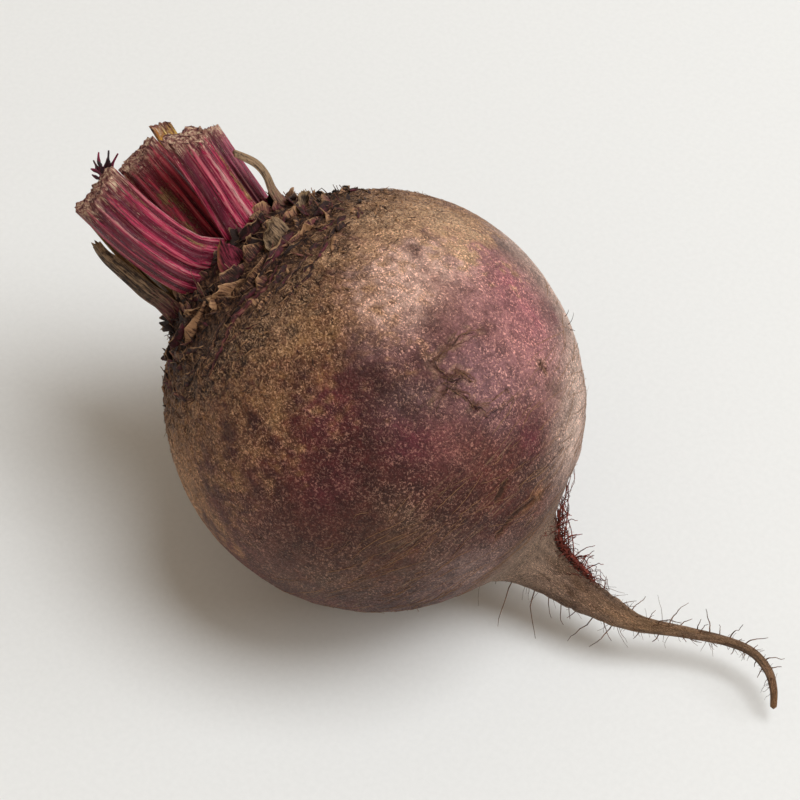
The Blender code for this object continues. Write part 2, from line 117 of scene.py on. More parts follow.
def smooth_curve(pairs, x):
    """Reads (x, value) pairs as a curve with no overshoot: cubic between neighbours, with the
    harmonic mean of the two slopes at each point, or none where the slope changes sign."""
    xs, ys = np.array(pairs, float).T
    step = np.diff(xs)
    rise = np.diff(ys) / step
    slope = np.zeros(len(xs))
    slope[0] = rise[0]
    both = rise[:-1] * rise[1:]
    total = np.where(both > 0, rise[:-1] + rise[1:], 1.0)
    slope[1:-1] = np.where(both > 0, 2 * both / total, 0.0)
    i = np.clip(np.searchsorted(xs, x, side="right") - 1, 0, len(xs) - 2)
    t = np.clip((x - xs[i]) / step[i], 0.0, 1.0)
    return ((2 * t ** 3 - 3 * t ** 2 + 1) * ys[i] + (t ** 3 - 2 * t ** 2 + t) * step[i] * slope[i]
            + (3 * t ** 2 - 2 * t ** 3) * ys[i + 1] + (t ** 3 - t ** 2) * step[i] * slope[i + 1])


def through(points, place):
    """Catmull-Rom curve: place 0 is the first point, 1 the second, and so on."""
    points = np.array(points, float)
    padded = np.vstack([2 * points[0] - points[1], points, 2 * points[-1] - points[-2]])
    place = np.clip(np.asarray(place, float), 0.0, len(points) - 1 - 1e-6)
    i = place.astype(int)
    t = (place - i)[..., None]
    p0, p1, p2, p3 = (padded[i + k] for k in range(4))
    return 0.5 * (p1 * 2 + (p2 - p0) * t + (p0 * 2 - p1 * 5 + p2 * 4 - p3) * t ** 2
                  + (p1 * 3 - p0 - p2 * 3 + p3) * t ** 3)


TABLE_SIZE = 8192  # a power of two
HASH_PRIMES = (73856093, 19349663, 83492791)  # they scatter the lattice's points over the table


def noise(points, size, seed, octaves=1):
    """Value noise from -1 to 1: random numbers on a cubic lattice of this size in mm, blended
    smoothly. Each further octave is half as large and half as strong."""
    table = np.random.default_rng(seed).uniform(-1.0, 1.0, TABLE_SIZE)
    total, strength, norm = 0.0, 1.0, 0.0
    for octave in range(octaves):
        place = points * (2.0 ** octave) / size + 37.7 * octave
        cell = np.floor(place).astype(np.int64)
        t = place - cell
        t = t * t * (3 - 2 * t)
        layer = 0.0
        for corner in np.ndindex(2, 2, 2):
            key = np.bitwise_xor.reduce((cell + np.array(corner)) * HASH_PRIMES, axis=-1)
            layer = layer + table[key % TABLE_SIZE] * np.prod(np.where(corner, t, 1 - t), axis=-1)
        total = total + layer * strength
        norm += strength
        strength *= 0.5
    return total / norm


# %% [markdown]
# ## From arrays to pieces
#
# A piece is a grid of points: rows along it and columns round it. Blender could build it with
# vertex loops in bmesh, but whole arrays are shorter to write and far faster. One function closes
# the grid, another writes the mesh with its attributes, which the materials read later.

# %% Meshes from arrays
def tube_faces(rows, columns):
    """Quads between neighbouring rings, and a fan to one middle point at each end. The two
    middle points follow the rings."""
    ring = np.arange(columns)
    after = (ring + 1) % columns
    start = columns * np.arange(rows - 1)[:, None]
    quads = np.stack([start + ring, start + after, start + columns + after, start + columns + ring], -1)
    low, last = rows * columns, (rows - 1) * columns
    fans = np.vstack([np.stack([after, ring, np.full(columns, low)], -1),
                      np.stack([last + ring, last + after, np.full(columns, low + 1)], -1)])
    return quads.reshape(-1, 4).tolist() + fans.tolist()


def many_faces(count, rows, columns):
    """The faces of many tubes that are alike and whose points follow each other."""
    one, step = tube_faces(rows, columns), rows * columns + 2
    return [[number + step * k for number in face] for k in range(count) for face in one]


def closed_grids(values):
    """Values on grids x rows x columns as one list. After each grid come the means of its first
    and last rows, for its two middle points."""
    body = values.reshape(len(values), -1, 3)
    return np.concatenate([body, values[:, :1].mean(2), values[:, -1:].mean(2)], 1).reshape(-1, 3)


BOX_MARGIN = 0.02  # mm that every point stays inside the CAD's box


def make_piece(name, points, faces, look, attributes=None, replaces=()):
    """A mesh object in the part's frame from points in mm, its faces smooth, riding the root."""
    mesh = bpy.data.meshes.new(name)
    points = np.clip(points, BOX_LOW + BOX_MARGIN, BOX_HIGH - BOX_MARGIN)
    points[:, 2] = np.maximum(points[:, 2], 0.0)
    mesh.from_pydata((points * MM).tolist(), [], faces)
    mesh.shade_smooth()
    for key, values in (attributes or {}).items():
        made = mesh.attributes.new(key, "FLOAT_VECTOR", "POINT")
        made.data.foreach_set("vector", np.asarray(values, np.float32).ravel())
    mesh.materials.append(look)
    obj = bpy.data.objects.new(name, mesh)
    bpy.context.scene.collection.objects.link(obj)
    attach(obj, "root")
    if replaces:
        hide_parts(*replaces)
    triangles = sum(len(face) - 2 for face in faces)
    print(f"{name}: {triangles} triangles")
    return obj


def make_fine(name, look, points, grain, part):
    """The finer piece that stands for a CAD node, from one grid of points and its attributes."""
    rows, columns = points.shape[:2]
    return make_piece(name + "_fine", closed_grids(points[None]), tube_faces(rows, columns), look,
                      {"grain": closed_grids(grain[None]), "part": closed_grids(part[None])},
                      replaces=[name])


def sweep(paths, widths, thicks, facing, sides):
    """Many small strands at once. paths is strands x rows x 3; each row is an ellipse of half
    width widths across the strand and half thickness thicks along facing. Returns points and
    faces of closed tubes."""
    strands, rows = paths.shape[:2]
    ahead = unit(np.gradient(paths, axis=1))
    across = unit(np.cross(ahead, facing))
    other = np.cross(across, ahead)
    turn = 2 * math.pi * (np.arange(sides) + 0.5) / sides
    ring = (across[:, :, None] * (widths[:, :, None] * np.cos(turn))[..., None]
            + other[:, :, None] * (thicks[:, :, None] * np.sin(turn))[..., None])
    return closed_grids(paths[:, :, None] + ring), many_faces(strands, rows, sides)


# %% [markdown]
# ## One node at a time
#
# Plant tissue has no image to lean on here, so each finish is a node tree: noise at the size of
# the real grain, mixed by attributes that say where on the plant a point lies.

# %% Colours and nodes
def linear(code):
    """An sRGB hex colour as linear red, green, blue and alpha."""
    parts = [int(code[i:i + 2], 16) / 255 for i in (0, 2, 4)]
    return tuple(v / 12.92 if v <= 0.04045 else ((v + 0.055) / 1.055) ** 2.4 for v in parts) + (1.0,)


def add(tree, kind, inputs=None, out=0, stops=None, **settings):
    """Adds a node, sets its properties and sockets, and returns one of its outputs, or all of
    them when out is None. An input is a value, a hex colour or another node's output."""
    made = tree.nodes.new("ShaderNode" + kind)
    for key, value in settings.items():
        setattr(made, key, value)
    for key, value in (inputs or {}).items():
        if isinstance(value, bpy.types.NodeSocket):
            tree.links.new(value, made.inputs[key])
        else:
            made.inputs[key].default_value = linear(value) if isinstance(value, str) else value
    if stops:
        ramp = made.color_ramp
        while len(ramp.elements) < len(stops):
            ramp.elements.new(0.5)
        for element, (place, colour) in zip(ramp.elements, stops):
            element.position = place
            element.color = linear(colour) if isinstance(colour, str) else (colour,) * 3 + (1.0,)
    return made.outputs if out is None else made.outputs[out]


def new_material(name, **sockets):
    """A material with one Principled BSDF. sockets are its fixed values."""
    made = bpy.data.materials.new(name)
    made.use_nodes = True
    shader = made.node_tree.nodes["Principled BSDF"]
    for key, value in sockets.items():
        shader.inputs[key.replace("_", " ")].default_value = value
    return made, made.node_tree, shader


def ragged(tree, mask, grit, strength, low, high, most=1.0):
    """A mask with a ragged edge: the mask plus strength times grit less a half, read as 0 at low
    and as most at high."""
    shift = add(tree, "Math", {0: grit, 1: strength, 2: -strength / 2}, operation="MULTIPLY_ADD")
    mixed = add(tree, "Math", {0: shift, 1: mask}, operation="ADD")
    return add(tree, "MapRange", {0: mixed, 1: low, 2: high, 4: most}, clamp=True)


def layered(tree, colour, layers):
    """Colours laid over each other: each layer is a colour and the masks whose product is its share."""
    for over, share, *masks in layers:
        for mask in masks:
            share = add(tree, "Math", {0: share, 1: mask}, operation="MULTIPLY")
        colour = add(tree, "Mix", {0: share, 6: colour, 7: over}, 2, data_type="RGBA")
    return colour


def connect(tree, shader, colour, rough, height=None, strength=0.5, depth=0.1):
    """Links colour, roughness and a bump this many mm deep to the shader."""
    tree.links.new(colour, shader.inputs["Base Color"])
    tree.links.new(rough, shader.inputs["Roughness"])
    if height is not None:
        bump = add(tree, "Bump", {"Height": height, "Strength": strength, "Distance": depth * MM})
        tree.links.new(bump, shader.inputs["Normal"])


# %% [markdown]
# ## Beet skin
#
# A beetroot's skin is periderm: a thin cork that dries to fine flecks over the maroon flesh. Near
# the crown it is thick and brown, near the tail it is drawn into fine rings, and where it was
# rubbed the pink flesh shows through. It scatters light and has only a dull sheen.

# %% The skin's finish
def beet_skin():
    """Beetroot periderm, grown. To the eye: matt, finely flecked, maroon with brown cork."""
    look, tree, shader = new_material("beet skin (periderm)", IOR=1.45, Specular_IOR_Level=0.3)
    pattern = add(tree, "Attribute", attribute_name="pattern", out=1)
    ground = add(tree, "Attribute", attribute_name="ground", out=0)
    tone = add(tree, "Attribute", attribute_name="tone", out=1)
    zone = add(tree, "Attribute", attribute_name="zone", out=1)
    cork, flecks, mark = add(tree, "SeparateXYZ", {0: tone}, None)
    crown, ringed, _ = add(tree, "SeparateXYZ", {0: zone}, None)

    # Worm-like flecks about 0.2 mm wide: thin lines where one noise passes its middle value,
    # broken up by a coarser noise. With them go finer specks.
    winding = add(tree, "TexNoise", {"Vector": pattern, "Scale": 1.15, "Detail": 0.4, "Roughness": 0.5,
                                     "Distortion": 1.9})
    off_middle = add(tree, "Math", {0: add(tree, "Math", {0: winding, 1: 0.5}, operation="SUBTRACT")},
                     operation="ABSOLUTE")
    worm = add(tree, "MapRange", {0: off_middle, 1: 0.04, 2: 0.028}, clamp=True)
    broken = add(tree, "TexNoise", {"Vector": pattern, "Scale": 1.15, "Detail": 2.0, "Roughness": 0.6})
    kept = add(tree, "MapRange", {0: broken, 1: 0.475, 2: 0.505, 3: 0.06}, clamp=True)
    worm = add(tree, "Math", {0: worm, 1: kept}, operation="MULTIPLY")
    speck = add(tree, "TexNoise", {"Vector": pattern, "Scale": 2.3, "Detail": 2.0, "Roughness": 0.6,
                                   "Distortion": 0.6})
    bright = add(tree, "MapRange", {0: speck, 1: 0.61, 2: 0.63}, clamp=True)
    light = add(tree, "Math", {0: worm, 1: bright}, operation="MAXIMUM")
    gap = add(tree, "MapRange", {0: speck, 1: 0.475, 2: 0.43}, clamp=True)

    # Cracks in the cork run lengthways, 1 to 2 mm long
    lengthways = add(tree, "Mapping", {0: pattern, "Scale": (1.8, 1.8, 0.95)}, vector_type="POINT")
    streak = add(tree, "TexNoise", {"Vector": lengthways, "Scale": 1.0, "Detail": 3.0, "Roughness": 0.62,
                                    "Distortion": 0.5})
    split = add(tree, "MapRange", {0: streak, 1: 0.455, 2: 0.41}, clamp=True)
    flake = add(tree, "MapRange", {0: streak, 1: 0.52, 2: 0.57}, clamp=True)
    # Fine rings round the root
    ringwise = add(tree, "Mapping", {0: pattern, "Scale": (0.14, 0.14, 2.6)}, vector_type="POINT")
    rings = add(tree, "TexNoise", {"Vector": ringwise, "Scale": 1.0, "Detail": 4.0, "Roughness": 0.65,
                                   "Distortion": 0.3})
    line = add(tree, "MapRange", {0: rings, 1: 0.58, 2: 0.63}, clamp=True)
    crease = add(tree, "MapRange", {0: rings, 1: 0.43, 2: 0.37}, clamp=True)

    cloud = add(tree, "TexNoise", {"Vector": pattern, "Scale": 0.42, "Detail": 5.0, "Roughness": 0.7})
    cloudy = add(tree, "MapRange", {0: cloud, 1: 0.38, 2: 0.62, 3: 0.62, 4: 1.28})
    skin = add(tree, "VectorMath", {0: ground, 1: cloudy}, operation="MULTIPLY")
    ochre = add(tree, "MapRange", {0: cloud, 1: 0.5, 2: 0.62}, clamp=True)
    husk = add(tree, "Mix", {0: ochre, 6: "ac8463", 7: "ba8c56"}, 2, data_type="RGBA")
    gaps = add(tree, "Math", {0: cork, 1: 0.25, 2: 0.45}, operation="MULTIPLY_ADD")
    deep = add(tree, "VectorMath", {0: ground, 1: (0.36, 0.26, 0.24)}, operation="MULTIPLY")
    # Flecks are a paler tint of the ground, and tan where there is cork
    lit = add(tree, "VectorMath", {0: ground, 1: (3.2, 2.8, 2.7)}, operation="MULTIPLY")
    lit = layered(tree, lit, (("e4bfa2", 0.32), ("d2a67c", cork, 0.6)))
    # Between the old leaf bases the skin is crumbly, and its dark is partly painted shade of the hollows
    # there
    crumb = add(tree, "TexNoise", {"Vector": pattern, "Scale": 0.8, "Detail": 6.0, "Roughness": 0.7})
    crumbs = add(tree, "ValToRGB", {0: crumb}, stops=((0.38, "1c0e0c"), (0.49, "452a20"), (0.57, "765239"),
                                                      (0.67, "a8825f")))
    # Healed cracks and scars are dark brown with a ragged edge
    frill = ragged(tree, mark, speck, 1.1, 0.32, 0.46, 0.45)
    scar = ragged(tree, mark, speck, 1.1, 0.66, 0.76, 0.85)
    skin = layered(tree, skin, (
        (husk, flake, 0.55, cork),
        ("3d2819", split, 0.6, cork),
        (deep, gap, gaps),
        (lit, light, flecks),
        (crumbs, crown),
        ("a88a68", line, ringed, 0.5),  # tan lines towards the tail
        ("351f1b", crease, ringed, 0.45),  # dark creases
        ("6b4733", frill),
        ("3a2317", scar)))

    rough = add(tree, "MapRange", {0: speck, 1: 0.3, 2: 0.7, 3: 0.66, 4: 0.46})
    height = add(tree, "Math", {0: streak, 1: cork}, operation="MULTIPLY")
    height = add(tree, "Math", {0: height, 1: 1.6, 2: speck}, operation="MULTIPLY_ADD")
    height = add(tree, "Math", {0: light, 1: 0.3, 2: height}, operation="MULTIPLY_ADD")
    height = add(tree, "Math", {0: rings, 1: ringed, 2: height}, operation="MULTIPLY_ADD")
    connect(tree, shader, skin, rough, height, 1.0, 0.45)
    return look


SKIN = beet_skin()

# %% [markdown]
# ## The root's shape
#
# The root is one grown body: a sphere that narrows to a crown at one end and a tail at the other.
# It is a profile turned round a middle line that bends only along the tail. The numbers are those
# of the CAD solid, so the finer skin lies on it.

# %% Profile and middle line
CROWN_PROFILE = ((-42.4, 2.5), (-42.0, 6.0), (-41.2, 9.6), (-39.9, 12.6), (-38.3, 15.0), (-36.4, 17.6))
SPHERE_FROM, SPHERE_TO = -35.0, 34.0
TAIL_PROFILE = ((36.0, 17.5), (38.0, 13.6), (40.0, 10.5), (42.5, 7.8), (45.5, 6.0), (49.0, 4.9),
                (55.2, 3.85), (62.2, 2.8), (68.4, 1.8), (77.0, 1.15), (85.0, 0.92), (95.0, 0.86),
                (102.5, 0.66))
TAIL_END = TAIL_PROFILE[-1][0]
STRAIGHT_TO = 33.0
TAIL_ROUTE = ((34.0, 0.0, 17.2), (37.7, -0.3, 15.5), (41.2, -0.4, 14.3), (47.9, -0.6, 12.9),
              (54.9, -0.2, 12.0), (60.8, 1.2, 10.9), (68.5, 5.0, 9.7), (75.9, 7.9, 9.4),
              (81.2, 8.9, 9.0), (85.5, 7.8, 7.9), (88.2, 5.6, 6.3), (90.0, 2.7, 4.8))
ROUTE = np.vstack([CENTRE - ALONG * STRAIGHT_TO * k / 4 for k in (3, 4)] + [TAIL_ROUTE])
CHORDS = np.linalg.norm(np.diff(ROUTE, axis=0), axis=1)
PASSED = np.concatenate([[0.0], np.cumsum(CHORDS[1:])])  # mm past STRAIGHT_TO at each route point
SCAR_RINGS = ((-37.6, 0.7, 0.55, 7, 0.4), (-35.6, 1.1, 0.7, 5, 2.1), (-33.2, 0.9, 0.7, 6, 4.0),
              (-30.6, 0.45, 0.8, 9, 1.2))
FURROWS = (46.0, -131.0)  # degrees
FURROW_DEPTH, FURROW_WIDTH = 0.9, 1.6
FLAT_SIDE = math.radians(63)


def profile_radius(station):
    """Radius in mm: the sphere's in the middle, read from the two profiles at the ends."""
    joins = [(s, math.sqrt(BULB_R ** 2 - s ** 2)) for s in (SPHERE_FROM, SPHERE_TO)]
    crown = smooth_curve([*CROWN_PROFILE, joins[0]], station)
    tail = smooth_curve([joins[1], *TAIL_PROFILE], station)
    round_part = np.sqrt(np.maximum(BULB_R ** 2 - np.asarray(station) ** 2, 1.0))
    return np.where(station < SPHERE_FROM, crown, np.where(station > SPHERE_TO, tail, round_part))


def spine(station):
    """Middle line: straight, then a smooth curve through the tail's route by distance along it."""
    left = np.clip(station - STRAIGHT_TO, 0.0, PASSED[-1] - 1e-6)
    i = np.clip(np.searchsorted(PASSED, left, side="right") - 1, 0, len(PASSED) - 2)
    bent = through(ROUTE, 1 + i + (left - PASSED[i]) / CHORDS[1 + i])
    straight = CENTRE - np.asarray(station, float)[..., None] * ALONG
    return np.where((np.asarray(station) <= STRAIGHT_TO)[..., None], straight, bent)


def swell(station, angle):
    """Slow unevenness in mm: waves round the bulb that fade out at the tail."""
    fade = np.maximum(0.0, 1 - np.maximum(0.0, station - 20) / 22)
    lumps = 0.12 * np.sin(3 * angle + station / 14) + 0.1 * np.sin(5 * angle - station / 9 + 1.0)
    return fade * (lumps - 0.35 * np.cos(2 * (angle - FLAT_SIDE)))


def scar_rings(station, angle):
    """Ridges in mm where old leaves stood: bell curves across the station, wavy round the axis."""
    total = 0.0
    for place, height, width, lobes, phase in SCAR_RINGS:
        middle = place + 0.5 * np.sin(3 * angle + phase)
        total = total + height * np.exp(-((station - middle) / width) ** 2) * (
            0.65 + 0.35 * np.sin(lobes * angle + phase))
    return total


def furrows(station, angle, radius):
    """The two furrows in mm that side roots grow from: a bell curve across each, faded along."""
    faded = np.clip((station - 26) / 12, 0, 1) * np.clip((80 - station) / 30, 0, 1)
    total = 0.0
    for degrees in FURROWS:
        away = turned_from(angle, math.radians(degrees))
        total = total + np.exp(-(away * radius / FURROW_WIDTH) ** 2)
    return -np.minimum(FURROW_DEPTH, 0.22 * radius) * faded * total


def root_frame(station, angle):
    """Outward direction and heading: the turn that takes the bulb's axis to the line's heading
    also takes the direction round the axis with it."""
    ahead = unit(spine(station + 0.2) - spine(station - 0.2))
    cosine = -(ahead @ ALONG)[..., None]
    cross = np.cross(-ALONG, ahead)
    out = radial(angle)
    along = cross * (cross * out).sum(-1, keepdims=True) / (1 + cosine)
    return out * cosine + np.cross(cross, out) + along, ahead


def root_point(station, angle, lift=0.0):
    """Points of the plain skin, lift mm above it."""
    station, angle = np.broadcast_arrays(np.asarray(station, float), np.asarray(angle, float))
    radius = profile_radius(station)
    reach = radius + swell(station, angle) + scar_rings(station, angle) + furrows(station, angle, radius)
    out, _ = root_frame(station, angle)
    return spine(station) + out * (reach + lift)[..., None]


def root_normal(station, angle):
    """Outward normals of the plain skin, from points a little to each side."""
    along = root_point(station + 0.1, angle) - root_point(station - 0.1, angle)
    around = root_point(station, angle + 0.01) - root_point(station, angle - 0.01)
    return unit(np.cross(along, around))


# %% [markdown]
# ## Rings of the skin
#
# A grid with as many columns on the thin tail as on the bulb would waste most of its faces. The
# rings are spaced evenly along the surface, and the number of points in a ring halves three times
# towards the tip, so the faces stay about half a millimetre wide everywhere.

# %% Ring spacing and faces
# The station that each band ends at, its columns, and mm from ring to ring
BANDS = ((38.0, 384, 0.5), (43.5, 192, 0.42), (54.0, 96, 0.42), (TAIL_END, 48, 0.42))
fine = np.linspace(CROWN_PROFILE[0][0], TAIL_END, 4000)
travelled = np.concatenate([[0.0], np.cumsum(np.hypot(np.diff(fine), np.diff(profile_radius(fine))))])


def ring_rows():
    """Station and number of points of every ring, from the crown to the tip."""
    rows, reached = [], 0.0
    for last, columns, step in BANDS:
        end = float(np.interp(last, fine, travelled))
        count = max(2, round((end - reached) / step))
        places = reached + (end - reached) * (np.arange(count) + (1 if rows else 0)) / count
        rows += [(float(s), columns) for s in np.interp(places, travelled, fine)]
        reached = end
    return rows


def skin_faces(rows):
    """Faces between rings: quads where both have as many points, three triangles for each point
    of the smaller ring where the number halves, and a fan at each end."""
    starts = np.concatenate([[0], np.cumsum([columns for _, columns in rows])])
    quads, triangles = [], []
    for k in range(len(rows) - 1):
        n, m, low, high = rows[k][1], rows[k + 1][1], starts[k], starts[k + 1]
        j = np.arange(m)
        after = high + (j + 1) % m
        if n == m:
            quads.append(np.stack([low + j, low + (j + 1) % n, after, high + j], -1))
        else:
            first, middle, last = low + 2 * j, low + 2 * j + 1, low + (2 * j + 2) % n
            triangles += [np.stack(corners, -1) for corners in (
                (first, middle, high + j), (middle, after, high + j), (middle, last, after))]
    for ring, pole, flip in ((0, starts[-1], True), (len(rows) - 1, starts[-1] + 1, False)):
        j = np.arange(rows[ring][1])
        a, b = starts[ring] + j, starts[ring] + (j + 1) % rows[ring][1]
        tip = np.full(len(j), pole)
        triangles.append(np.stack([b, a, tip] if flip else [a, b, tip], -1))
    return np.vstack(quads).tolist() + np.vstack(triangles).tolist()


ROWS = ring_rows()
station = np.concatenate([np.full(n, s) for s, n in ROWS])
angle = np.concatenate([2 * math.pi * np.arange(n) / n for _, n in ROWS])
radius = profile_radius(station)
distance = np.interp(station, fine, travelled)
print(f"{len(ROWS)} rings, {len(station)} points")

# %% [markdown]
# ## Relief and tones
#
# The real skin carries cork ridges at the crown, shallow dimples, rings of wrinkles by the tail
# and a few healed cracks. They could be sculpted; here each is a formula in millimetres along the
# normal, because the same formula also says where its colour goes.

# %% Relief along the normal, and what the finish reads
straight = np.stack([radius * np.cos(angle), radius * np.sin(angle), station], -1)
wrap = np.sqrt(np.maximum(radius, 0.6) * BULB_R)  # mm round the axis: narrower patterns where it is thin
pattern = np.stack([wrap * np.cos(angle), wrap * np.sin(angle), distance], -1)


def patch(where, degrees, size):
    """A soft round patch on the skin: 1 at its middle and 0.37 at size mm from it."""
    r = float(profile_radius(np.array(where)))
    middle = np.array([r * math.cos(math.radians(degrees)), r * math.sin(math.radians(degrees)), where])
    return np.exp(-((straight - middle) ** 2).sum(-1) / size ** 2)


def cracks(lines, waver):
    """Distance in mm from each point of the skin to the nearest of the lines, which are lists of
    (station, degrees). The lines waver as the skin is shifted by noise."""
    shifted = straight + waver * np.stack([noise(straight, 1.6, 50 + k, 2) for k in range(3)], -1)
    nearest = np.full(len(straight), 99.0)
    for line in lines:
        s, a = np.array(line, float).T
        a = np.radians(a)
        r = profile_radius(s)
        ends = np.stack([r * np.cos(a), r * np.sin(a), s], -1)
        for start, stop in zip(ends, ends[1:]):
            t = np.clip((shifted - start) @ (stop - start) / ((stop - start) ** 2).sum(), 0, 1)
            gap = np.linalg.norm(shifted - start - t[:, None] * (stop - start), axis=1)
            nearest = np.minimum(nearest, gap)
    return nearest


# Lines of (station, degrees). HEALED: a growth crack in the shape of a rough cross, and a few on
# the far side. THREADED: where threads lie in bundles with no crack below. SCARS: open ones, the
# first of them the gash above the tail.
HEALED = (((-2.4, 7), (-4.2, 3), (-5.2, -3), (-5.9, -9)),
          ((-6.0, -10), (-4.4, -10), (-2.5, -11), (-0.2, -7)),
          ((1.4, -6), (-1.5, -7), (-0.9, -14), (-0.7, -17)),
          ((-0.6, -12), (1.9, -10), (3.4, -10), (5.1, -10)),
          ((4.8, -11), (6.4, -9)), ((10.0, 13), (10.8, 14), (11.8, 14)),
          ((2.0, 128), (4.5, 131), (6.0, 139)), ((5.2, 133), (8.0, 131), (9.5, 127)),
          ((-12.0, -152), (-9.5, -149), (-8.0, -144)))
THREADED = (((4.6, -12), (6.0, -8), (7.4, -5), (7.8, 0)), ((7.7, -16), (7.6, -11), (8.4, -7), (9.4, -1)),
            ((19.0, -24), (20.4, -12), (21.0, 0)), ((24.0, -14), (24.6, -2), (25.0, 8)),
            ((27.2, -14), (27.6, -6), (28.0, 2)), ((26.6, -12), (27.6, -10), (28.8, -9)))
SCARS = (((26.9, -30), (26.3, -25), (26.2, -22), (26.5, -18), (27.2, -13)), ((20.9, -22), (19.6, -17)),
         ((26.0, 78), (26.5, 88), (26.2, 99)), ((21.0, 150), (21.6, 161)), ((30.0, -95), (30.4, -84)))
healed, scarred = cracks(HEALED, 0.55), cracks(SCARS, 0.35)

# %% Colours of the ground, from the maroon up
ground = np.tile(linear("431811")[:3], (len(straight), 1))


def paint(code, share):
    """Blends one more colour into the skin's ground colour where share is near 1."""
    share = np.clip(share, 0, 1)[:, None]
    ground[:] = ground * (1 - share) + np.array(linear(code)[:3]) * share


drift, wisps = noise(pattern, 8.0, 3, 3), noise(pattern * (1, 1, 0.45), 3.0, 4, 3)
blots = noise(pattern, 2.6, 13, 2)
uneven = 1 + 0.8 * noise(pattern, 5.0, 5, 3) + 0.7 * wisps + 0.6 * blots
paint("5c281f", 0.4 + 1.6 * noise(pattern, 6.0, 6, 3) + 0.6 * blots)  # maroon, clouded
paint("5a423f", 1.0 * patch(-2, -22, 6) * uneven)  # slate
paint("78443f", 0.6 * patch(6, -22, 6) * uneven)
paint("80585a", (0.9 * patch(0, -2, 8) + 0.7 * patch(8, 0, 7)
                 + 0.5 * patch(-14, -14, 6)) * uneven)  # mauve
paint("9c6a68", (patch(-8, 22, 11) + 0.9 * patch(4, 18, 11) + 0.9 * patch(14, 24, 9)
                 + 0.8 * patch(0, 150, 15) + 0.6 * patch(8, -150, 12)) * uneven)  # pink
paint("a05a62", (0.55 * patch(-5, 26, 5) + 0.5 * patch(4, 22, 6)
                 + 0.35 * patch(-12, 32, 5)) * uneven)  # rose
# Peach: pale skin with dense flecks, and partly a painted highlight where the lamp falls on the upper bulb.
paint("d0a897", (1.3 * patch(-20, 8, 8) + 0.9 * patch(-19, -6, 6) + 0.5 * patch(-14, 22, 6)
                 + 0.5 * patch(-12, 130, 9)) * uneven)  # peach
paint("a98d80", (patch(20, 32, 9) + 1.1 * patch(27, 15, 8) + 0.9 * patch(9, 50, 9)
                 + 0.7 * patch(-6, 48, 8) + patch(30, 40, 9)) * (0.7 + 0.3 * uneven))  # pale skin, partly a painted sheen on the lit right side
paint("c9ad9e", (0.9 * patch(9, 53, 7) + 0.9 * patch(17, 48, 8) + 0.8 * patch(-4, 56, 7)
                 + 0.9 * patch(22, 25, 6) + 0.7 * patch(27, 16, 5)) * (0.7 + 0.3 * uneven))  # the palest, partly a painted sheen on the lit right side
paint("65262f", (1.0 * patch(17.8, -3, 3.2) + 0.5 * patch(8, 32, 2.6) + 0.6 * patch(-13, -38, 6)
                 + 0.7 * patch(0.5, -28, 5) + 0.5 * patch(-3, -50, 6)
                 + 0.25 * patch(8, -36, 5)) * uneven)  # crimson
paint("624535", (0.6 * patch(17, -56, 11) + 0.7 * patch(8, -80, 9)
                 + 0.6 * patch(9, -45, 6)) * uneven)  # russet
paint("6b4136", 0.6 * patch(-7, -76, 9) + 0.4 * patch(2, -86, 8))
paint("35130f", 0.35 * patch(8, -38, 6) + 0.45 * patch(8, -57, 6) + 0.2 * patch(-2, -40, 8))
paint("7a605a", (patch(29, -48, 8) + 0.7 * patch(28, 90, 12) + 0.7 * patch(28, 180, 12)) * uneven)

print("ground colour in linear light, mean:", ground.mean(0).round(3))

# %% Cork from the crown down
def cork_edge(turn):
    """The station that the crown's cork reaches: a level less or more a lobe here and there."""
    return (-19.0 - 6.0 * lobe(turn, 8, 15) + 13.0 * lobe(turn, -103, 17)
            + 8.0 * lobe(turn, 44, 16) + 4.0 * lobe(turn, 170, 40))


cork = (0.5 + (cork_edge(angle) - station) / 15 + 0.5 * drift + 0.6 * wisps + 0.4 * blots
        + 0.7 * noise(pattern, 1.1, 16, 2))
cork = np.clip(cork, 0, 1) * (1 - smoothstep(22, 34, station))
russet = smoothstep(-21, -31, station + 3 * wisps)
tan = np.clip(lobe(angle, -104, 16) * smoothstep(-30, -20, station) + lobe(angle, 28, 22), 0, 1)
paint("895a3a", 0.9 * cork)  # cork
paint("bd8f66", 0.9 * cork * tan * (1 + 0.8 * drift))  # where it is thin and rubbed
paint("9a7046", 0.7 * cork * smoothstep(0.15, 0.5, blots + 0.5 * drift))  # ochre
# Paler cork on the crown's upper side.
paler_upper_cork = lobe(angle, 26, 22) * smoothstep(-36, -27, station)
paint("dcb592", 0.9 * cork * paler_upper_cork * (0.85 + 0.8 * drift))
paint("5d3c30", 0.75 * cork * russet * (1 - 0.85 * tan))  # towards the crown
hollows = smoothstep(-0.25, -0.5, blots + 0.6 * wisps)
paint("46291f", 0.5 * smoothstep(-12, -24, station) * hollows)
print(f"cork on {np.mean(cork > 0.5):.0%} of the points")

# %% Rings and earth-brown blotches of the tail
tail_share = smoothstep(31, 42, station + 2.5 * noise(pattern, 7.0, 7, 2))
paint("907866", 0.9 * tail_share)
paint("916e4e", 0.85 * smoothstep(50, 66, station + 6 * noise(pattern, 5.0, 8, 2)))
paint("9c6c3c", 0.8 * smoothstep(92, 104, station))  # ochre tip
ring_share = smoothstep(6, 18, station + 5 * noise(pattern, 14.0, 9, 2)) * (1 - smoothstep(60, 75, station))
ring_share = ring_share * np.clip(0.55 + 1.2 * noise(pattern * (0.4, 0.4, 1), 4.0, 10, 2), 0, 1)
grooves = noise(pattern * (1, 1, 0.12), 1.8, 27, 2)
far_tail = tail_share * (0.3 + 0.7 * smoothstep(44, 56, station))
paint("5a4132", 0.45 * far_tail * smoothstep(-0.15, -0.5, grooves))
paint("a98d74", 0.4 * far_tail * smoothstep(0.15, 0.5, grooves))
blotched = noise(pattern * (1, 1, 0.6), 3.4, 31, 3)
paint("5a4230", 0.7 * smoothstep(40, 47, station) * smoothstep(-0.1, 0.25, blotched))  # earth-brown blotches
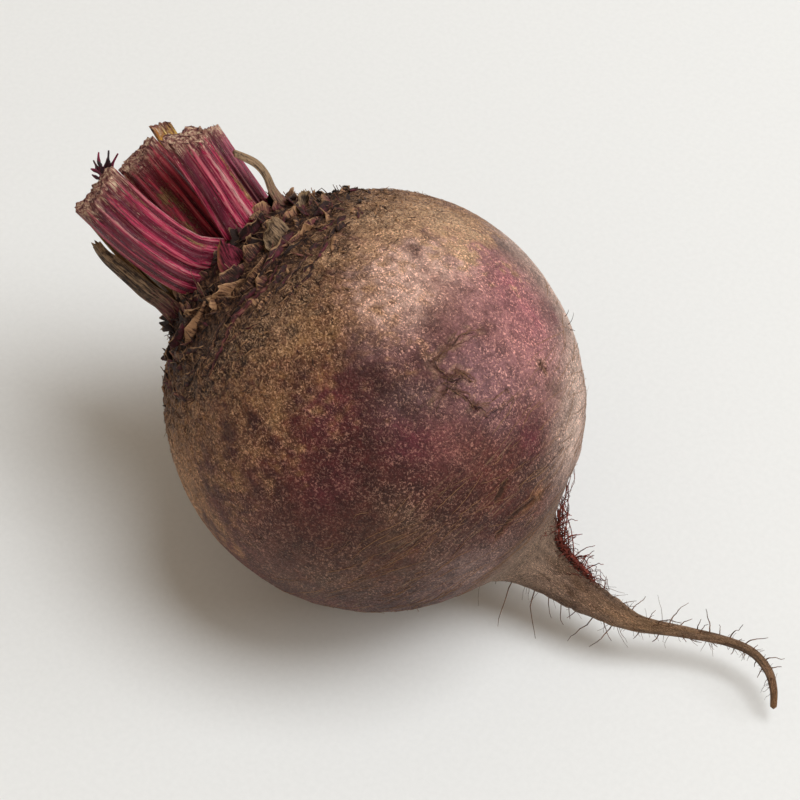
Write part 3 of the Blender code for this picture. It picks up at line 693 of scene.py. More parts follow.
upper_tail = smoothstep(38, 44, station) * (1 - smoothstep(58, 70, station))
paint("a48670", 0.3 * upper_tail * smoothstep(0.05, -0.35, blotched))
paint("a08a78", 0.3 * np.exp(-((station - 40) / 5) ** 2))
paint("664a36", 0.8 * np.exp(-((station - 55) / 5.5) ** 2) * (0.7 + blots))
paint("b08a62", 0.35 * np.exp(-((station - 71) / 6) ** 2))
print(f"tail colours on {np.mean(tail_share > 0.5):.0%} of the points")

# %% The crown, the flecks and the marks
SLATE_HOLLOW = (-32.6, -57)  # station and degrees of a bare dip between the scales
crown_share = smoothstep(-29, -34, station + 3 * noise(pattern, 3.0, 8, 3))
pitted = noise(pattern * (1, 1, 1.6), 1.7, 17, 2)
shaded_pits = smoothstep(0.1, 0.4, pitted - 0.5 + smoothstep(-18, -33, station))
paint("33201a", 0.85 * shaded_pits * (1 - 0.5 * tan))  # painted shade in the pits between the flakes
torn_cork = (patch(-29.5, 0, 6) + patch(-30, 22, 6) + 0.7 * patch(-26, 14, 5) + 0.7 * patch(-30, 42, 6)
             + 0.8 * patch(-29, -34, 5)) * smoothstep(-0.1, 0.25, wisps + 0.6 * blots)
paint("ba9170", 0.8 * torn_cork)
slate_hollow = patch(*SLATE_HOLLOW, 3.2)
crown_share = crown_share * (1 - 0.9 * slate_hollow) * (1 - 0.5 * np.clip(torn_cork, 0, 1))
paint("332830", 1.3 * slate_hollow)
paint("2b1917", 0.9 * smoothstep(-31, -36, station + 2 * drift))  # painted shade in the hollows between the scales
fleck_share = np.clip(0.7 + 0.5 * drift + 0.4 * wisps + 0.3 * cork + 0.4 * patch(-20, 5, 10)
                      - 0.1 * patch(4, -48, 20), 0.25, 1.0)
paint("a98468", 0.45 * np.exp(-((healed - 0.8) / 0.4) ** 2)
      * smoothstep(-0.15, 0.2, noise(straight, 1.2, 14, 2)))  # pale edges of the healed cracks
paint("8a5a30", 0.8 * patch(27.4, -10, 1.8) + 0.6 * patch(27.0, -16, 1.0))  # torn fibres
mark = np.maximum(1 - healed / 0.5, 1.2 - scarred / 1.0)
mark = np.maximum(mark, 0.75 * patch(-20.3, -65, 1.5) * (1 + noise(straight, 0.8, 12)))
print(f"{np.sum(mark > 0)} points in cracks and scars, {np.sum(shaded_pits > 0.5)} in dark gaps")

# %% Relief in millimetres, and the finished skin
stretched = pattern * (0.16, 0.16, 1.0)
relief = 0.05 * noise(straight, 0.9, 21, 2) + 0.16 * noise(straight, 7.0, 22, 2)
rough_crown = smoothstep(-25, -33, station + 2 * noise(pattern, 5.0, 15, 2))
relief += rough_crown * (0.2 - 1.1 * np.abs(noise(pattern * (0.4, 0.4, 1), 2.6, 23, 3)))
relief += rough_crown * 0.25 * noise(pattern, 1.1, 30, 2)
relief += 0.4 * np.clip(cork, 0, 1) * (0.3 - np.abs(noise(pattern * (1, 1, 0.4), 1.3, 24, 2)))
relief += ring_share * (0.16 * noise(stretched, 1.5, 25, 2) + 0.10 * noise(stretched, 0.8, 26))
relief -= 0.35 * shaded_pits
relief += far_tail * (0.24 * grooves + 0.16 * noise(stretched, 1.4, 28, 2))
relief -= 0.22 * np.exp(-(healed / 0.4) ** 2) - 0.16 * np.exp(-((healed - 0.9) / 0.5) ** 2)
relief -= 0.8 * np.exp(-(scarred / 0.45) ** 2) - 0.18 * np.exp(-((scarred - 1.1) / 0.6) ** 2)
relief *= smoothstep(0.2, 3.0, radius)
tip = np.clip((station - TAIL_END) / 0.7 + 1, 0, 1)
relief -= 0.9 * radius * (1 - np.sqrt(1 - tip ** 2))  # the tip is rounded

skin_points = root_point(station, angle) + root_normal(station, angle) * relief[:, None]

BULB_COLUMNS = BANDS[0][1]
bulb_rows = np.array([s for s, columns in ROWS if columns == BULB_COLUMNS])
bulb_relief = relief[:len(bulb_rows) * BULB_COLUMNS].reshape(-1, BULB_COLUMNS)


def on_skin(stations, angles, lift=0.0):
    """Points lift mm above the finished skin of the bulb, and the normals there: the relief is
    read from the grid, blended between its four nearest points."""
    row = np.interp(stations, bulb_rows, np.arange(len(bulb_rows)))
    column = np.asarray(angles) / (2 * math.pi) * BULB_COLUMNS
    i, j = np.minimum(row.astype(int), len(bulb_rows) - 2), np.floor(column).astype(int)
    u, v = row - i, column - j
    at = [[bulb_relief[i + k, (j + m) % BULB_COLUMNS] for m in (0, 1)] for k in (0, 1)]
    height = (at[0][0] * (1 - v) + at[0][1] * v) * (1 - u) + (at[1][0] * (1 - v) + at[1][1] * v) * u
    normals = root_normal(stations, angles)
    return root_point(stations, angles) + normals * (height + lift)[..., None], normals


def with_poles(values):
    """The values with those of the two middle points added: the means of the end rings."""
    first, last = ROWS[0][1], ROWS[-1][1]
    return np.concatenate([values, values[:first].mean(0)[None], values[-last:].mean(0)[None]])


make_piece(
    "beet_root", with_poles(skin_points), skin_faces(ROWS), SKIN,
    {"pattern": with_poles(pattern),
     "ground": with_poles(ground),
     "tone": with_poles(np.stack([cork, fleck_share, np.clip(mark, 0, 1)], -1)),
     "zone": with_poles(np.stack([crown_share, ring_share, 0 * ring_share], -1))},
    replaces=["root"])

# %% [markdown]
# ## Leaf stalks
#
# A beet leaf's stalk is a fleshy strap: ribbed and round on the outside, with a shallow channel on
# the inside, and full of long bundles that show as pale ridges. Where it was cut it dries brown
# and the bundles stand out as fibres. One section carried along a curved line makes all of them,
# and a few rings drawn in to the middle close the cut.

# %% The stalks' finish
def stalk_skin(name, deep, bright, ridge, dried):
    """Petiole skin, grown. To the eye: waxy and satin, with long streaks from the bundles in it. The ribs'
    pale is partly the bundles and partly a painted highlight; the grooves get painted shade.
    """
    look, tree, shader = new_material(name, IOR=1.45, Specular_IOR_Level=0.4, Coat_Weight=0.1,
                                      Coat_Roughness=0.15)
    grain = add(tree, "Attribute", attribute_name="grain", out=1)
    part = add(tree, "Attribute", attribute_name="part", out=1)
    rib, cut, scar = add(tree, "SeparateXYZ", {0: part}, None)
    long = add(tree, "Mapping", {0: grain, "Scale": (1.5, 1.5, 0.12)}, vector_type="POINT")
    streak = add(tree, "TexNoise", {"Vector": long, "Scale": 1.0, "Detail": 3.0, "Roughness": 0.6})
    hair = add(tree, "Mapping", {0: grain, "Scale": (5.5, 5.5, 0.5)}, vector_type="POINT")
    fibre = add(tree, "TexNoise", {"Vector": hair, "Scale": 1.0, "Detail": 3.0, "Roughness": 0.65})
    grit = add(tree, "TexNoise", {"Vector": grain, "Scale": 2.2, "Detail": 4.0, "Roughness": 0.65})
    torn = add(tree, "TexNoise", {"Vector": grain, "Scale": 0.55, "Detail": 6.0, "Roughness": 0.62,
                                  "Distortion": 1.6})
    flesh = add(tree, "ValToRGB", {0: streak}, stops=((0.38, deep), (0.52, bright), (0.9, ridge)))
    bark = add(tree, "ValToRGB", {0: fibre}, stops=((0.36, "2c1712"), (0.5, dried), (0.62, "b98f60")))
    pith = add(tree, "ValToRGB", {0: torn}, stops=((0.38, "431c1c"), (0.46, "86504a"), (0.53, "b5836f"),
                                                    (0.63, "e8cbaa")))
    # Painted shade darkens the grooves between the ribs; the pale along the ribs is partly their bundles and
    # partly a painted highlight.
    groove_shade = add(tree, "MapRange", {0: rib, 1: 0.26, 2: 0.02, 4: 0.8}, clamp=True)
    pale = ragged(tree, rib, fibre, 2.0, 0.73, 1.07, 0.66)
    worn = ragged(tree, scar, grit, 1.6, 0.45, 0.62)
    ends = ragged(tree, cut, fibre, 2.6, 0.26, 0.66)
    flesh = layered(tree, flesh, ((deep, groove_shade), (ridge, pale), (bark, worn), (pith, ends)))
    dull = add(tree, "Math", {0: ends, 1: worn}, operation="MAXIMUM")
    rough = add(tree, "MapRange", {0: dull, 3: 0.26, 4: 0.8})
    height = add(tree, "Math", {0: fibre, 1: 1.4, 2: streak}, operation="MULTIPLY_ADD")
    height = add(tree, "Math", {0: grit, 1: 0.6, 2: height}, operation="MULTIPLY_ADD")
    height = add(tree, "Math", {0: torn, 1: dull, 2: height}, operation="MULTIPLY_ADD")
    connect(tree, shader, flesh, rough, height, 0.85, 0.26)
    return look


# The third colour of each is the ribs' pale, partly a painted highlight.
CRIMSON = stalk_skin("leaf stalk (petiole), crimson", "500a20", "be2550", "f4bcb4", "8a5836")
DEEP_RED = stalk_skin("leaf stalk (petiole), deep red", "5c0e1e", "d23a50", "e49a9c", "84542e")
ROSY = stalk_skin("leaf stalk (petiole), rosy", "5a1c2c", "a8425c", "d6a09a", "7c5c3e")
OCHRE = stalk_skin("leaf stalk (petiole), ochre", "5a3a1a", "8f6a30", "a98a4e", "54391f")
YOUNG = stalk_skin("young leaf stalk, yellow", "c07a2c", "e4b250", "f4dc98", "c08c4c")


# %% Stalks along curved lines
def plant_points(triples):
    """Points given in mm along the axis, up and sideways from the bulb's middle."""
    along, up, side = np.array(triples, float).T[..., None]
    return CENTRE + along * ALONG + up * UP + side * SIDE


def section(width, thick, ribs, rib_height, hollow, turn):
    """A stalk's outline round turn: half an ellipse with ribs outside, and inside a flatter one
    pulled in towards the middle as a channel."""
    across, out = np.cos(turn), np.sin(turn)
    scale = 1 + rib_height * np.sqrt(np.maximum(out, 0)) * np.cos(2 * ribs * turn)
    outside = 0.62 * thick * out * scale
    inside = 0.38 * thick * out * (1 - hollow * (1 - across ** 2))
    p = width / 2 * across * np.where(out >= 0, scale, 1.0)
    return p, np.where(out >= 0, outside, inside) + 0 * p


def route_length(route):
    """The length in mm of the straight lines between a route's points."""
    return float(np.linalg.norm(np.diff(plant_points(route), axis=0), axis=1).sum())


def carried(route, face, share):
    """Middle line, heading, outward and sideways directions at shares 0 to 1 of a route."""
    line = plant_points(route)
    middle = through(line, share * (len(line) - 1))
    spread = 0.02 * (len(line) - 1)
    place = share * (len(line) - 1)
    ahead = unit(through(line, place + spread) - through(line, place - spread))
    hint = radial(math.radians(face))
    out = unit(hint - ahead * (ahead @ hint)[:, None])
    return middle, ahead, out, np.cross(ahead, out)


RIBS, RIB_HEIGHT, CHANNEL = 5, 0.05, 0.75  # of a fresh stalk's section
STALK_STEP, CAP_ROWS = 0.36, 12  # mm from ring to ring, and the rings that close the cut


def stalk(name, look, slot, route, face, width, thick, slant=0.0, bevel=0.0, flare=1.0, rows=7, seed=1,
          ridges=17, scar=None, band=None, columns=144):
    """A stalk from foot to cut end: ring after ring of section, with fine ridges where bundles
    run, a slanted ragged end, and rings drawn in to the middle that close it."""
    length = route_length(route)
    body_rows = int(length / STALK_STEP)
    share = np.concatenate([np.linspace(0, 1, body_rows), np.ones(CAP_ROWS)])
    inward = np.concatenate([np.ones(body_rows), np.linspace(0.97, 0.06, CAP_ROWS)])
    middle, ahead, out, across = carried(route, face, share)
    turn = 2 * math.pi * np.arange(columns) / columns
    size = 1 + (flare - 1) * (1 - share) ** 2
    p, q = section(width * size[:, None], thick, RIBS, RIB_HEIGHT, CHANNEL, turn[None])
    mean_size = (width + thick) / 2
    from_end = ((1 - share) * length)[:, None] + 0 * p
    grain = np.stack([mean_size * np.cos(turn) + 0 * p, mean_size * np.sin(turn) + 0 * p, from_end], -1)
    grain = grain * np.stack([inward, inward, np.ones_like(inward)], -1)[:, None] + 11.3 * seed
    bundle = 0.5 + 0.5 * np.cos(ridges * turn + 1.3 * np.sin(3 * turn + seed) + 0.9 * noise(
        grain * (0.3, 0.3, 0.03), 1.0, 60 + seed))
    rib = bundle ** 2.5 * (0.62 + 0.55 * noise(grain * (1, 1, 0.05), 2.2, 61 + seed))
    outward = np.stack([p, q], -1)
    outward = outward / np.maximum(np.linalg.norm(outward, axis=-1, keepdims=True), 1e-6)
    lift = (0.6 * rib - 0.25 + 0.10 * noise(grain * (1, 1, 0.2), 2.0, 62 + seed, 2)
            + 0.07 * noise(grain * (1, 1, 0.15), 0.7, 63 + seed)) * (inward[:, None] > 0.9)
    p, q = (p + outward[..., 0] * lift) * inward[:, None], (q + outward[..., 1] * lift) * inward[:, None]
    tilted = np.clip(share * (rows - 1) - (rows - 2), 0, 1)[:, None]
    ragged = 0.45 * noise(grain * (1, 1, 0), 0.75, 64 + seed, 2) + 0.35 * noise(
        grain * (1, 1, 0), 2.4, 65 + seed)
    sunk = -0.55 * np.sqrt(np.maximum(1 - inward[:, None] ** 2, 0)) * (inward[:, None] < 0.999)
    shift = tilted * (slant * p - bevel * q) + smoothstep(0.93, 1.0, share)[:, None] * ragged + sunk
    points = (middle[:, None] + across[:, None] * p[..., None] + out[:, None] * q[..., None]
              + ahead[:, None] * shift[..., None])
    cut = np.where(inward[:, None] < 0.999, 1.0, np.exp(-from_end / 2.3) * 0.85)

    def stripe(facts):
        """A lengthways stripe: a bell curve round turn, between two shares of the length."""
        where, spread, low, high = facts
        away = turned_from(turn, where)
        along = smoothstep(low - 0.12, low + 0.12, share) * smoothstep(high + 0.12, high - 0.12, share)
        return along[:, None] * np.exp(-(away / spread) ** 2)[None]

    worn = 0.5 * noise(grain * (0.6, 0.6, 0.12), 1.6, 66 + seed, 2)
    if scar:
        worn = worn + stripe(scar) * (0.6 + 0.8 * noise(grain * (1, 1, 0.4), 1.3, 67 + seed, 2))
    part = np.stack([rib + (0.3 * stripe(band) if band else 0) + 0 * p, cut, worn], -1)
    return make_fine(name, look, points, grain, part)


# name, finish, route, the way that its outside faces in degrees, width, thickness, and the rest
STALKS = (
    ("stalk_front", CRIMSON,
     ((38.0, 3.4, -4.6), (41.5, 3.0, -7.2), (45.3, 2.8, -9.0), (53.9, 2.4, -10.6), (65.4, 1.9, -10.8)),
     -38, 10.4, 6.2, dict(slant=0.06, bevel=0.42, flare=1.1, rows=9, ridges=11, scar=(0.45, 0.3, 0.3, 0.95))),
    ("stalk_right", CRIMSON,
     ((38.0, 5.8, 3.0), (44.7, 6.8, 3.6), (51.4, 8.6, 4.1), (61.4, 10.8, 4.9)),
     -2, 8.3, 5.4, dict(slant=-0.28, bevel=0.55, flare=1.25, rows=7, ridges=9, scar=(0.85, 0.12, 0.35, 1.0),
                       band=(1.35, 0.3, 0.1, 0.75))),
    ("stalk_middle", DEEP_RED,
     ((38.5, -1.6, 0.2), (45.1, -1.3, 0.6), (54.8, -1.2, 1.4), (64.2, -1.3, 2.0)),
     -28, 8.8, 5.2, dict(slant=0.1, bevel=0.5, flare=0.9, rows=6, ridges=9, scar=(1.9, 0.4, -0.2, 0.75))),
    ("stalk_far_right", ROSY,
     ((38.0, 2.2, 9.0), (42.0, 2.9, 9.6), (50.3, 3.9, 10.7), (58.6, 4.8, 11.9)),
     50, 7.0, 4.6, dict(slant=-0.25, bevel=0.3, flare=1.1, rows=6, ridges=13)),
    ("stalk_rear_left", DEEP_RED,
     ((38.5, -6.6, -3.2), (46.0, -6.4, -3.8), (56.0, -5.8, -3.4), (64.6, -5.4, -3.2)),
     -118, 6.2, 4.2, dict(slant=0.1, bevel=0.1, rows=6, ridges=11)),
    ("stalk_young", YOUNG,
     ((39.0, -6.4, 6.2), (46.0, -5.8, 7.8), (56.0, -5.0, 9.8), (64.4, -4.4, 11.6)),
     150, 3.6, 3.2, dict(slant=0.35, bevel=0.2, flare=1.3, rows=6, ridges=9, columns=96)),
    ("stalk_left", OCHRE,
     ((37.0, -9.4, -8.8), (43.0, -10.0, -9.0), (52.0, -10.6, -8.8), (63.2, -10.4, -7.9)),
     -146, 5.4, 3.0, dict(slant=0.2, flare=1.2, rows=6, ridges=9, columns=96)),
)
for number, (name, look, route, face, width, thick, facts) in enumerate(STALKS):
    slot = "young_stalk" if name == "stalk_young" else "stalk"
    stalk(name, look, slot, route, face, width, thick, seed=number + 1, **facts)

# %% [markdown]
# ## Dried leaf bases
#
# Outside the living stalks stand what is left of older ones: papery, fibrous flaps that are torn
# at the top and curl outwards, and two whole stalks dried to strips. Each is a thin closed sheet:
# a flat ellipse carried up a curve, its upper edge torn by letting each fibre end at its own height.

# %% The dry leaves' finish
def dry_leaf(name, dark, middle, light, edge_tint):
    """Dried petiole tissue: dead brown cells between tougher fibres. Matt, streaked lengthways."""
    look, tree, shader = new_material(name, IOR=1.4)
    grain = add(tree, "Attribute", attribute_name="grain", out=1)
    part = add(tree, "Attribute", attribute_name="part", out=1)
    shade, tint, edge = add(tree, "SeparateXYZ", {0: part}, None)
    long = add(tree, "Mapping", {0: grain, "Scale": (3.4, 3.4, 0.4)}, vector_type="POINT")
    fibre = add(tree, "TexNoise", {"Vector": long, "Scale": 1.0, "Detail": 4.0, "Roughness": 0.65})
    grit = add(tree, "TexNoise", {"Vector": grain, "Scale": 1.5, "Detail": 4.0, "Roughness": 0.6})
    tone = add(tree, "Math", {0: grit, 1: 0.5, 2: -0.25}, operation="MULTIPLY_ADD")
    strong = add(tree, "Math", {0: fibre, 1: 1.7, 2: -0.35}, operation="MULTIPLY_ADD")
    tone = add(tree, "Math", {0: tone, 1: strong}, operation="ADD")
    shift = add(tree, "Math", {0: shade, 1: 0.5, 2: -0.25}, operation="MULTIPLY_ADD")
    tone = add(tree, "Math", {0: tone, 1: shift}, operation="ADD")
    colour = add(tree, "ValToRGB", {0: tone}, stops=((0.3, dark), (0.47, middle), (0.68, light)))
    red = ragged(tree, tint, grit, 1.2, 0.35, 0.8, 0.8)
    rim = add(tree, "MapRange", {0: edge, 1: 0.45, 2: 0.95, 4: 0.6}, clamp=True)
    colour = layered(tree, colour, (("6e2735", red), (edge_tint, rim)))
    rough = add(tree, "MapRange", {0: fibre, 1: 0.3, 2: 0.7, 3: 0.85, 4: 0.6})
    connect(tree, shader, colour, rough, tone, 0.8, 0.22)
    return look


HUSK = dry_leaf("dried leaf base", "2a1813", "5c3b2b", "a97d59", "c2966c")
GREY_HUSK = dry_leaf("dried leaf base, weathered", "2a1e17", "5c4635", "94775a", "a98a62")
RED_SHEATH = dry_leaf("leaf sheath, still red", "2e0810", "5a1022", "8a2c40", "b97c46")


# %% Flaps and strips
def flap(name, look, slot, degrees, along, reach, height, width, lean, skew, red=0.0, shade=0.5, seed=1,
         living=0.0):
    """A torn flap: a flat ellipse carried from the crown's edge up and outwards, its width and
    its curl changing with height, its top torn to fibres. living goes from 0, dry, to 1."""
    rows, columns = 44, 72
    share = np.linspace(0, 1, rows)
    turning = math.radians(degrees)
    outward, sideways = radial(turning), radial(turning + math.pi / 2)
    line = [CENTRE + ALONG * (along + height * s) + outward * (reach + lean * leant)
            + sideways * skew * s ** 2 for s, leant in ((0.0, 0.0), (0.35, 0.25), (0.7, 0.5), (1.0, 1.0))]
    turn = 2 * math.pi * np.arange(columns) / columns
    half = width / 2 * (0.86 + 0.3 * np.sin(2.6 * share + 0.4) - 0.72 * share ** 2.2
                        + 0.09 * np.sin(9 * share + degrees))
    half = half * (1 - 0.72 * living * share)
    place = np.broadcast_to(half[:, None] * np.cos(turn), (rows, columns))
    flat = np.stack([place, 0 * place, share[:, None] * height + 0 * place], -1) + 19.7 * seed
    torn = 0.5 + 0.4 * noise(flat * (1, 1, 0), 2.4, 81 + seed) + 0.3 * noise(
        flat * (1, 1, 0), 0.55, 85 + seed)
    lower = share[:, None] * (1 - (0.4 - 0.22 * living) * torn * smoothstep(0.2, 1.0, share)[:, None])
    middle = through(line, lower * 3)
    ahead = unit(through(line, lower * 3 + 0.06) - through(line, lower * 3 - 0.06))
    out = unit(outward - ahead * (ahead @ outward)[..., None])
    across = np.cross(ahead, out)
    ridge = noise(flat * (1, 1, 0.08), 0.6, 82 + seed, 2)
    thin = 0.26 + 0.1 * ridge
    hug = -0.028 * place ** 2 + 0.3 * share[:, None] * np.sin(1.5 * place + degrees)
    curl = 0.9 * share[:, None] ** 2 * noise(flat * (0.5, 0.5, 0.5), 1.6, 83 + seed, 2)
    curl = curl + 1.6 * share[:, None] ** 3 * (1 + place / width)
    folds = 0.5 * noise(flat * (1, 1, 0.15), 1.7, 86 + seed) * (1 - 0.5 * share[:, None])
    q = hug + (1 - 0.75 * living) * (curl + folds + 0.25 * ridge) + 0.12 * noise(flat, 1.2, 84 + seed) + (
        thin * np.sin(turn))
    points = middle + across * place[..., None] + out * q[..., None]
    grain = np.stack([flat[..., 0], np.sin(turn)[None] * 0.3 + 0 * place, flat[..., 2]], -1)
    at_side = smoothstep(0.86, 1.0, np.abs(np.cos(turn)))[None]
    worn_edge = np.maximum(smoothstep(0.8, 1.0, share)[:, None] + 0 * place,
                           at_side * smoothstep(0.1, 0.5, share)[:, None])
    worn_edge = worn_edge * (1 - living) + living * smoothstep(0.2, 0.95, -np.cos(turn))[None] * (
        0.3 + 0.7 * share[:, None])
    part = np.stack([shade + 0 * place, red * (1 - 0.5 * share[:, None]) + 0 * place, worn_edge], -1)
    return make_fine(name, look, points, grain, part)


def strip(name, look, route, face, width, thick, red=0.0, seed=1, shade=0.45, foot=1.35):
    """An old stalk dried to a strip: the stalk's section, flatter, with three sharp ribs, shrunk
    unevenly and frayed at the end."""
    rows, columns = 96, 64
    share = np.linspace(0, 1, rows)
    middle, ahead, out, across = carried(route, face, share)
    turn = 2 * math.pi * np.arange(columns) / columns
    size = 1 + (foot - 1) * (1 - share) ** 1.5 - 0.45 * share ** 2.5
    p, q = section(width * size[:, None], thick, 3, 0.08, 0.3, turn[None])
    length = route_length(route)
    flat = np.stack([p, 0 * p, (share * length)[:, None] + 0 * p], -1) + 7.9 * seed
    ridge = noise(flat * (1, 1, 0.05), 0.6, 90 + seed)
    q = q * (0.85 + 0.35 * ridge) + 0.25 * noise(flat * (0.4, 1, 0.25), 1.5, 91 + seed, 2)
    fray = smoothstep(0.72, 1.0, share)[:, None] * (
        0.5 + 0.5 * noise(flat * (1, 1, 0), 0.7, 92 + seed))
    points = (middle[:, None] + across[:, None] * (p * (1 - 0.12 * np.abs(ridge)))[..., None]
              + out[:, None] * q[..., None] - ahead[:, None] * (fray * 2.6)[..., None])
    grain = np.stack([flat[..., 0], 0.3 * np.sin(turn)[None] + 0 * p, flat[..., 2]], -1)
    part = np.stack([shade + 0.5 * ridge, red * (1 - share[:, None]) ** 2 + 0 * p,
                     0.8 * smoothstep(0.9, 1.0, np.abs(np.cos(turn)))[None] + 0 * p], -1)
    return make_fine(name, look, points, grain, part)


# name, finish, angle, foot's distance along and from the axis, height, width, lean, skew, red, shade
FLAPS = (
    ("sheath_red", RED_SHEATH, -30, 34.5, 14.6, 10.0, 8.6, 1.6, 2.2, 0.0, 0.5),
    ("dry_base_grey", GREY_HUSK, 2, 33.4, 17.0, 8.6, 6.4, 2.8, -1.8, 0.15, 0.6),
    ("dry_base_dark", HUSK, -9, 34.5, 14.2, 8.0, 6.0, 0.6, -0.4, 0.5, 0.1),
    ("dry_base_tan", HUSK, 14, 30.5, 19.4, 4.8, 7.0, 2.4, 1.4, 0.3, 0.75),
    ("dry_base_ochre", HUSK, -45, 32.0, 17.6, 7.0, 9.0, 1.6, -2.4, 0.0, 0.75),
    ("dry_base_brown", HUSK, -70, 33.5, 16.0, 7.0, 7.5, 1.4, 1.0, 0.3, 0.4),
    ("dry_base_top", GREY_HUSK, 42, 32.6, 16.4, 6.8, 8.5, 1.2, 1.6, 0.3, 0.5),
    ("dry_base_back_1", HUSK, 84, 33.5, 15.4, 6.0, 8.5, 1.2, -1.0, 0.2, 0.5),
    ("dry_base_back_2", GREY_HUSK, 113, 33.5, 15.6, 6.2, 7.5, 1.6, 0.8, 0.1, 0.4),
    ("dry_base_back_3", HUSK, 141, 33.5, 15.6, 8.6, 8.5, 1.8, 1.2, 0.3, 0.6),
    ("dry_base_back_4", GREY_HUSK, 169, 33.5, 15.8, 7.0, 7.5, 2.2, -1.2, 0.2, 0.5),
    ("dry_base_back_5", HUSK, -163, 33.5, 15.8, 8.0, 8.0, 1.8, 0.8, 0.1, 0.7),
    ("dry_base_back_6", HUSK, -136, 33.5, 15.4, 5.8, 7.0, 0.9, -0.6, 0.3, 0.3),
)
for number, (name, look, *facts) in enumerate(FLAPS):
    slot, living = ("sheath", 1.0) if name == "sheath_red" else ("husk", 0.0)
    flap(name, look, slot, *facts, seed=number + 1, living=living)

strip("dry_stalk_left", GREY_HUSK,
      ((34.0, -5.8, -13.2), (39.2, -5.4, -13.6), (42.6, -4.5, -14.2), (46.6, -4.1, -15.0),
       (51.0, -4.2, -15.3), (55.3, -4.8, -15.3), (59.1, -5.0, -14.7)),
      -76, 4.8, 1.1, red=1.0, shade=0.5, foot=1.5)
strip("dry_stalk_right", GREY_HUSK,
      ((33.0, 8.0, 12.6), (36.5, 8.2, 11.6), (39.4, 9.0, 10.8), (42.4, 10.2, 10.7),
       (45.2, 11.3, 11.1), (47.9, 12.0, 10.9), (50.7, 12.3, 9.8), (53.3, 12.4, 8.6)),
      30, 3.2, 1.0, red=1.2, seed=2, shade=0.95)

# %% [markdown]
# ## The youngest leaves
#
# In the middle of the crown the last leaves are still tiny: dark red, pointed and folded along
# their middle. They sit on a thin stem. Each is a narrow blade swept from the stem's top, wide in
# its lower half and drawn out to a point.

# %% Stem and tuft
def heart_skin():
    """Young beet leaf, grown. To the eye: dark wine red with a soft gloss."""
    look, tree, shader = new_material("heart leaf, wine red", IOR=1.42)
    part = add(tree, "Attribute", attribute_name="part", out=1)
    shade = add(tree, "SeparateXYZ", {0: part})
    grit = add(tree, "TexNoise", {"Vector": add(tree, "TexCoord", out=3), "Scale": 1400.0, "Detail": 3.0})
    tone = add(tree, "Math", {0: grit, 1: 0.7, 2: -0.35}, operation="MULTIPLY_ADD")
    tone = add(tree, "Math", {0: tone, 1: shade}, operation="ADD")
    colour = add(tree, "ValToRGB", {0: tone}, stops=((0.1, "1f0a0e"), (0.5, "4a1020"), (0.9, "8c2044")))
    rough = add(tree, "MapRange", {0: grit, 1: 0.3, 2: 0.7, 3: 0.6, 4: 0.42})
    connect(tree, shader, colour, rough, grit)
    return look


def join(parts):
    """Several (points, faces, attribute values) as one mesh's points, faces and values."""
    points, faces, values, first = [], [], [], 0
    for some, made, value in parts:
        points.append(some)
        values.append(value)
        faces += [[number + first for number in face] for face in made]
        first += len(some)
    return np.vstack(points), faces, np.vstack(values)


HEART_ROUTE = ((39.0, -9.0, -2.2), (48.0, -9.8, -2.2), (58.0, -10.2, -2.0), (65.6, -10.0, -1.6))
HEART_SUNK = 1.2  # mm below the stem's top where the leaves start
# Each leaf's tip from the stem's top, in mm along the axis, up and sideways
HEART_TIPS = np.array(((2.2, 2.1, 3.4), (0.6, 3.1, 3.8), (2.3, 1.6, 0.5), (2.2, 0.4, -1.1),
                       (1.2, -0.1, -1.5), (3.2, 0.4, 2.5), (2.8, -1.2, 1.3), (1.4, 0.1, 3.4)))


def heart_shoot():
    """The stem is one strand; the leaves are flat strands from its top to their tips, bowed a
    little, with half width sin of the share and a point at the end."""
    share = np.linspace(0, 1, 30)
    stem = carried(HEART_ROUTE, -150, share)[0][None]
    wide = (1.1 + 0.08 * np.sin(9 * share))[None]
    facing = np.broadcast_to(radial(math.radians(-150)), stem.shape)
    stem_points, stem_faces = sweep(stem, wide, wide * 0.85, facing, 20)
    top = plant_points(HEART_ROUTE)[-1]
    reach = HEART_TIPS @ np.stack([ALONG, UP, SIDE])
    t = np.linspace(0, 1, 14)[None, :, None]
    start = top - ALONG * HEART_SUNK
    draw = np.random.default_rng(5)
    bow = np.cross(unit(reach), draw.normal(size=reach.shape)) * 0.35
    blades = start + (reach[:, None] + ALONG * HEART_SUNK) * t + bow[:, None] * 4 * t * (1 - t)
    t_flat = t[..., 0]
    wide = 0.12 + 0.75 * np.sin(math.pi * np.clip(t_flat * 0.9 + 0.1, 0, 1)) ** 0.8 * (1 - 0.55 * t_flat)
    wide = wide * (1 + 0.15 * np.sin(14 * t[..., 0] + np.arange(len(blades))[:, None]))
    facing = np.broadcast_to(unit(reach + 0.6 * draw.normal(size=reach.shape))[:, None], blades.shape)
    facing = unit(facing + ALONG * 0.3)
    leaf_points, leaf_faces = sweep(blades, wide, 0.16 + 0.2 * (1 - t[..., 0]) + 0 * wide, facing, 10)
    shades = np.repeat(draw.uniform(0.1, 0.75, len(blades)), len(leaf_points) // len(blades))
    points, faces, part = join(((stem_points, stem_faces, np.full((len(stem_points), 3), 0.7)),
                                (leaf_points, leaf_faces, np.stack([shades] * 3, -1))))
    return make_piece("heart_shoot_fine", points, faces, heart_skin(), {"part": part},
                      replaces=["heart_shoot"])


heart_shoot()

# %% [markdown]
# ## Scales, shreds and fibres of the collar
#
# Between the flaps and the smooth skin lies a collar of old leaf bases worn down to low scales,
# rims, shreds and loose fibres, with crumbs of cork below it. Hair particles would be lost when
# the model is exported, so each scale, shred and crumb is a small closed strip and each fibre a
# three-sided tube, all swept at once from arrays.

